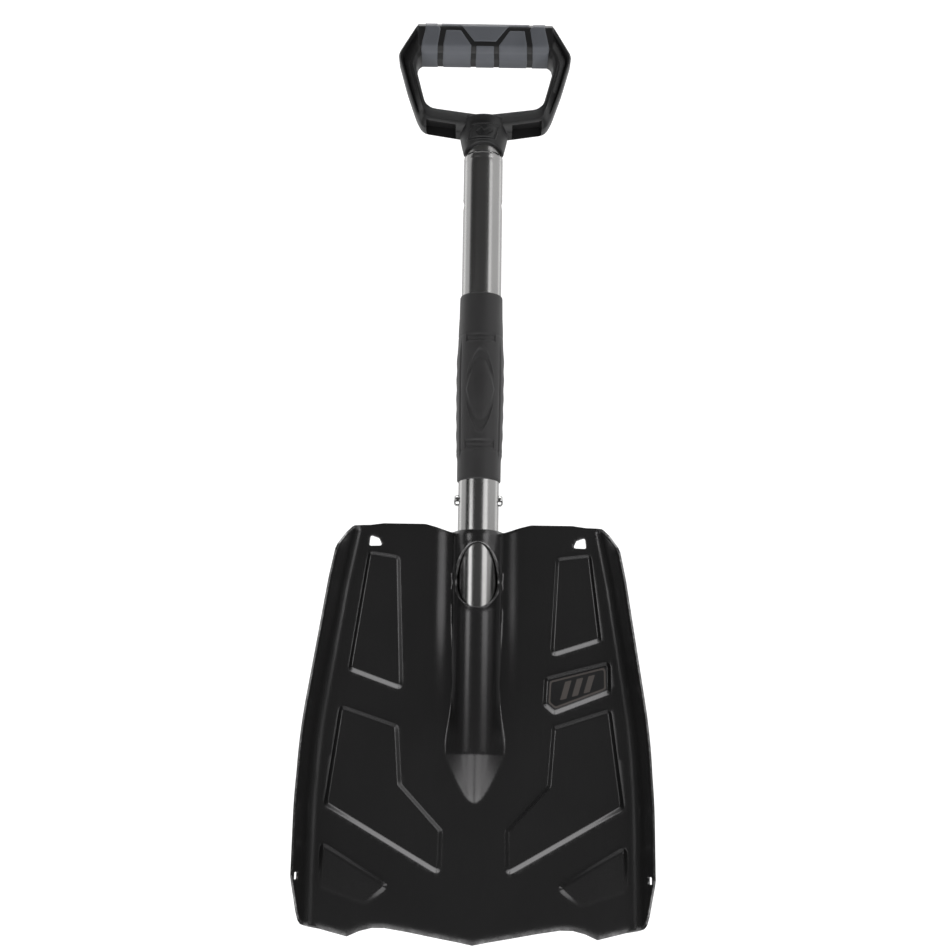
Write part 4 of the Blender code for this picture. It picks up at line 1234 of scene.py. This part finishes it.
# Lengths in metres. Each light has a name, a place, a target, a size and a brightness. The
# metal mirrors the lights, so their places set where its highlights lie.
ONE, BOTH = (1.0,), (-1.0, 1.0)
LIGHTS = [
    (ONE, [("overhead", (0.0, 0.3, 2.3), (0.0, 0.3, 0.0), (2.0, 1.2), 3.2),
           ("top_front", (0.0, -1.0, 2.3), (0.0, -1.0, 0.0), (2.4, 1.0), 0.4)]),
    (BOTH, [("rear", (1.5, 1.9, 0.9), (0.0, 0.0, 0.9), (2.6, 2.2), 0.75)]),
    (ONE, [("under_rear", (0.0, 1.5, -0.45), (0.0, 1.5, 0.0), (3.4, 2.2), 0.6),
           ("front", (-0.2, -1.9, 0.6), (-0.2, 0.0, 0.6), (2.6, 2.6), 0.035),
           ("key_high", (1.03, -0.95, 1.12), (0.0, 0.0, 1.12), (0.42, 0.84), 1.5),
           ("key_low", (0.9, -1.06, 0.5), (0.0, 0.0, 0.5), (0.64, 0.42), 2.0),
           ("side_right", (1.2, 0.1, 1.2), (0.0, 0.1, 1.2), (1.8, 1.6), 0.8),
           ("side_left", (-1.3, 0.45, 1.2), (0.0, 0.45, 1.2), (1.5, 1.6), 0.85),
           ("low_left", (-0.85, -0.93, 0.43), (0.0, 0.0, 0.43), (0.4, 0.3), 2.8)]),
    (BOTH, [("under_near", (0.3, -0.31, -0.45), (0.3, -0.31, 0.0), (0.52, 0.38), 3.0),
            ("under_far", (0.4, -0.95, -0.45), (0.4, -0.95, 0.0), (0.7, 0.9), 1.5),
            ("under_side", (1.1, -0.5, -0.45), (1.1, -0.5, 0.0), (0.7, 1.0), 1.4)]),
]
SURROUND = 0.045
FLOOR_LEVEL = -0.0012
FLOOR_GLOW = 0.93
CAMERA_TILT = math.radians(11.6)
CAMERA_ROLL = 0.01525
CAMERA_PLACE = (-0.0027, AXIS_Y * MM - 1.04, 0.1047)
CAMERA_LENS = 56.84


def area_light(name, place, target, size, radiance):
    """A soft rectangular panel of a given brightness, which the camera doesn't see."""
    data = bpy.data.lights.new(name, "AREA")
    data.shape = "RECTANGLE"
    data.size, data.size_y = size
    data.energy = radiance * math.pi * size[0] * size[1]
    light = new_object(name, data)
    light.location = place
    light.rotation_euler = (Vector(target) - Vector(place)).to_track_quat("-Z", "Y").to_euler()
    light.visible_camera = False


def build_world():
    """A dim even surround, pale where it is seen directly."""
    world = bpy.data.worlds.new("studio")
    world.use_nodes = True
    tree = world.node_tree
    dim, pale = tree.nodes["Background"], tree.nodes.new("ShaderNodeBackground")
    for shade, strength in ((dim, SURROUND), (pale, 1.0)):
        shade.inputs["Color"].default_value = (1.0, 1.0, 1.0, 1.0)
        shade.inputs["Strength"].default_value = strength
    seen = tree.nodes.new("ShaderNodeLightPath")
    pick = tree.nodes.new("ShaderNodeMixShader")
    tree.links.new(seen.outputs["Is Camera Ray"], pick.inputs["Fac"])
    tree.links.new(dim.outputs[0], pick.inputs[1])
    tree.links.new(pale.outputs[0], pick.inputs[2])
    tree.links.new(pick.outputs[0], tree.nodes["World Output"].inputs["Surface"])
    bpy.context.scene.world = world


def build_floor():
    """Pale floor that sweeps up into a backdrop, mostly self-lit and left out of reflections."""
    floor = Paint("studio_paper", roughness=0.85)
    floor.colour(floor.ramp(floor.noise(3.0, 2.0), [(0.3, 0.3), (0.7, 0.34)]))
    floor.bump(floor.noise(400.0, 2.0), 0.02, 0.0002)
    floor.shader.inputs["Emission Color"].default_value = (1.0, 1.0, 1.0, 1.0)
    floor.shader.inputs["Emission Strength"].default_value = FLOOR_GLOW
    level, start, radius, side = FLOOR_LEVEL, 0.9, 0.8, 2.6
    profile = [(-side, level), (start, level)]
    for k in range(1, 13):
        a = math.radians(90.0 * k / 12)
        profile.append((start + radius * math.sin(a), level + radius * (1.0 - math.cos(a))))
    profile += [(start + radius, 1.4), (start + radius, 2.4)]
    rings = [[(x, y, z) for y, z in profile] for x in np.linspace(-side, side, 9)]
    verts, faces = loft(rings, ring_closed=False, caps=False)
    mesh = bpy.data.meshes.new("studio_sweep")
    mesh.from_pydata(verts, [], faces)
    mesh.materials.append(floor.mat)
    mesh.shade_smooth()
    obj = new_object("studio_sweep", mesh)
    obj.visible_diffuse = obj.visible_glossy = obj.visible_shadow = False


def build_lights():
    """The groups in LIGHTS, mirrored where they stand on both sides."""
    for sides, group in LIGHTS:
        for side in sides:
            for name, place, target, size, radiance in group:
                area_light(name, (side * place[0], *place[1:]), (side * target[0], *target[1:]),
                           size, radiance)


def build_camera():
    """Slightly upward view from about a metre, level with the lower part of the blade."""
    tilt, roll = CAMERA_TILT, CAMERA_ROLL
    forward = Vector((0.0, math.cos(tilt), math.sin(tilt)))
    up = Vector((0.0, -math.sin(tilt), math.cos(tilt)))
    right = Vector((1.0, 0.0, 0.0))
    side = right * math.cos(roll) + up * math.sin(roll)
    top = up * math.cos(roll) - right * math.sin(roll)
    camera = new_object("camera", bpy.data.cameras.new("camera"))
    turned_to = Matrix((side, top, -forward)).transposed().to_4x4()
    turned_to.translation = CAMERA_PLACE
    camera.matrix_world = turned_to
    camera.data.sensor_width = 36.0
    camera.data.lens = CAMERA_LENS
    camera.data.clip_start = 0.01
    bpy.context.scene.camera = camera


# --- build

blade_paint = anodised("anodised_black", (0.078, 0.077, 0.078), (0.095, 0.094, 0.095),
                       (0.17, 0.17, 0.17), 0.22, 0.27, 0.86)
channel_paint = anodised("anodised_black_formed", (0.078, 0.077, 0.078), (0.097, 0.096, 0.097),
                         (0.2, 0.2, 0.2), 0.22, 0.3, 1.0)
tube_paint = anodised("anodised_grey", (0.35, 0.348, 0.345), (0.42, 0.415, 0.41),
                      (0.6, 0.6, 0.6), 0.2, 0.27, 1.0, streak=1.4)
slide_paint = anodised("anodised_grey_slide", (0.32, 0.318, 0.315), (0.39, 0.385, 0.38),
                       (0.55, 0.55, 0.55), 0.28, 0.36, 1.0, streak=1.4)
bead_paint = steel("weld_metal", (0.05, 0.05, 0.052), (0.12, 0.115, 0.11), 0.35, 0.55)
grip_paint = rubber("grip_rubber", (0.03, 0.029, 0.03), (0.042, 0.041, 0.042), 0.5, 0.62)
cover_paint = rubber("cover_rubber", (0.13, 0.138, 0.156), (0.16, 0.169, 0.189), 0.48, 0.6)
handle_paint = plastic("handle_plastic", (0.013, 0.013, 0.0135), (0.019, 0.019, 0.0195),
                       0.36, 0.5)
plug_paint = plastic("plug_plastic", (0.018, 0.018, 0.019), (0.028, 0.028, 0.029), 0.42, 0.55)
emblem_paint = plastic("emblem_black", (0.008, 0.008, 0.0085), (0.012, 0.012, 0.0125), 0.4, 0.5)
ink_paint = plastic("emblem_ink", (0.078, 0.068, 0.063), (0.096, 0.084, 0.078), 0.5, 0.62,
                    grain_scale=1400.0, depth=0.1)
button_paint = steel("button_steel", (0.6, 0.6, 0.6), (0.72, 0.72, 0.71), 0.1, 0.2)
spring_paint = steel("spring_steel", (0.4, 0.4, 0.41), (0.55, 0.55, 0.56), 0.25, 0.4)

build_world()
build_floor()
build_lights()
build_camera()
build_blade(blade_paint)
build_blade_badge([emblem_paint, ink_paint])
build_welds(bead_paint, build_socket_back(channel_paint))
build_outer_tube(tube_paint)
build_inner_tube(slide_paint)
build_grip(grip_paint)
build_plugs(plug_paint)
build_springs(spring_paint)
build_buttons(button_paint)
build_pin(spring_paint)
build_handle(handle_paint)
build_neck_badge(handle_paint)
build_covers(cover_paint)
bpy.context.scene.view_settings.view_transform = "Standard"
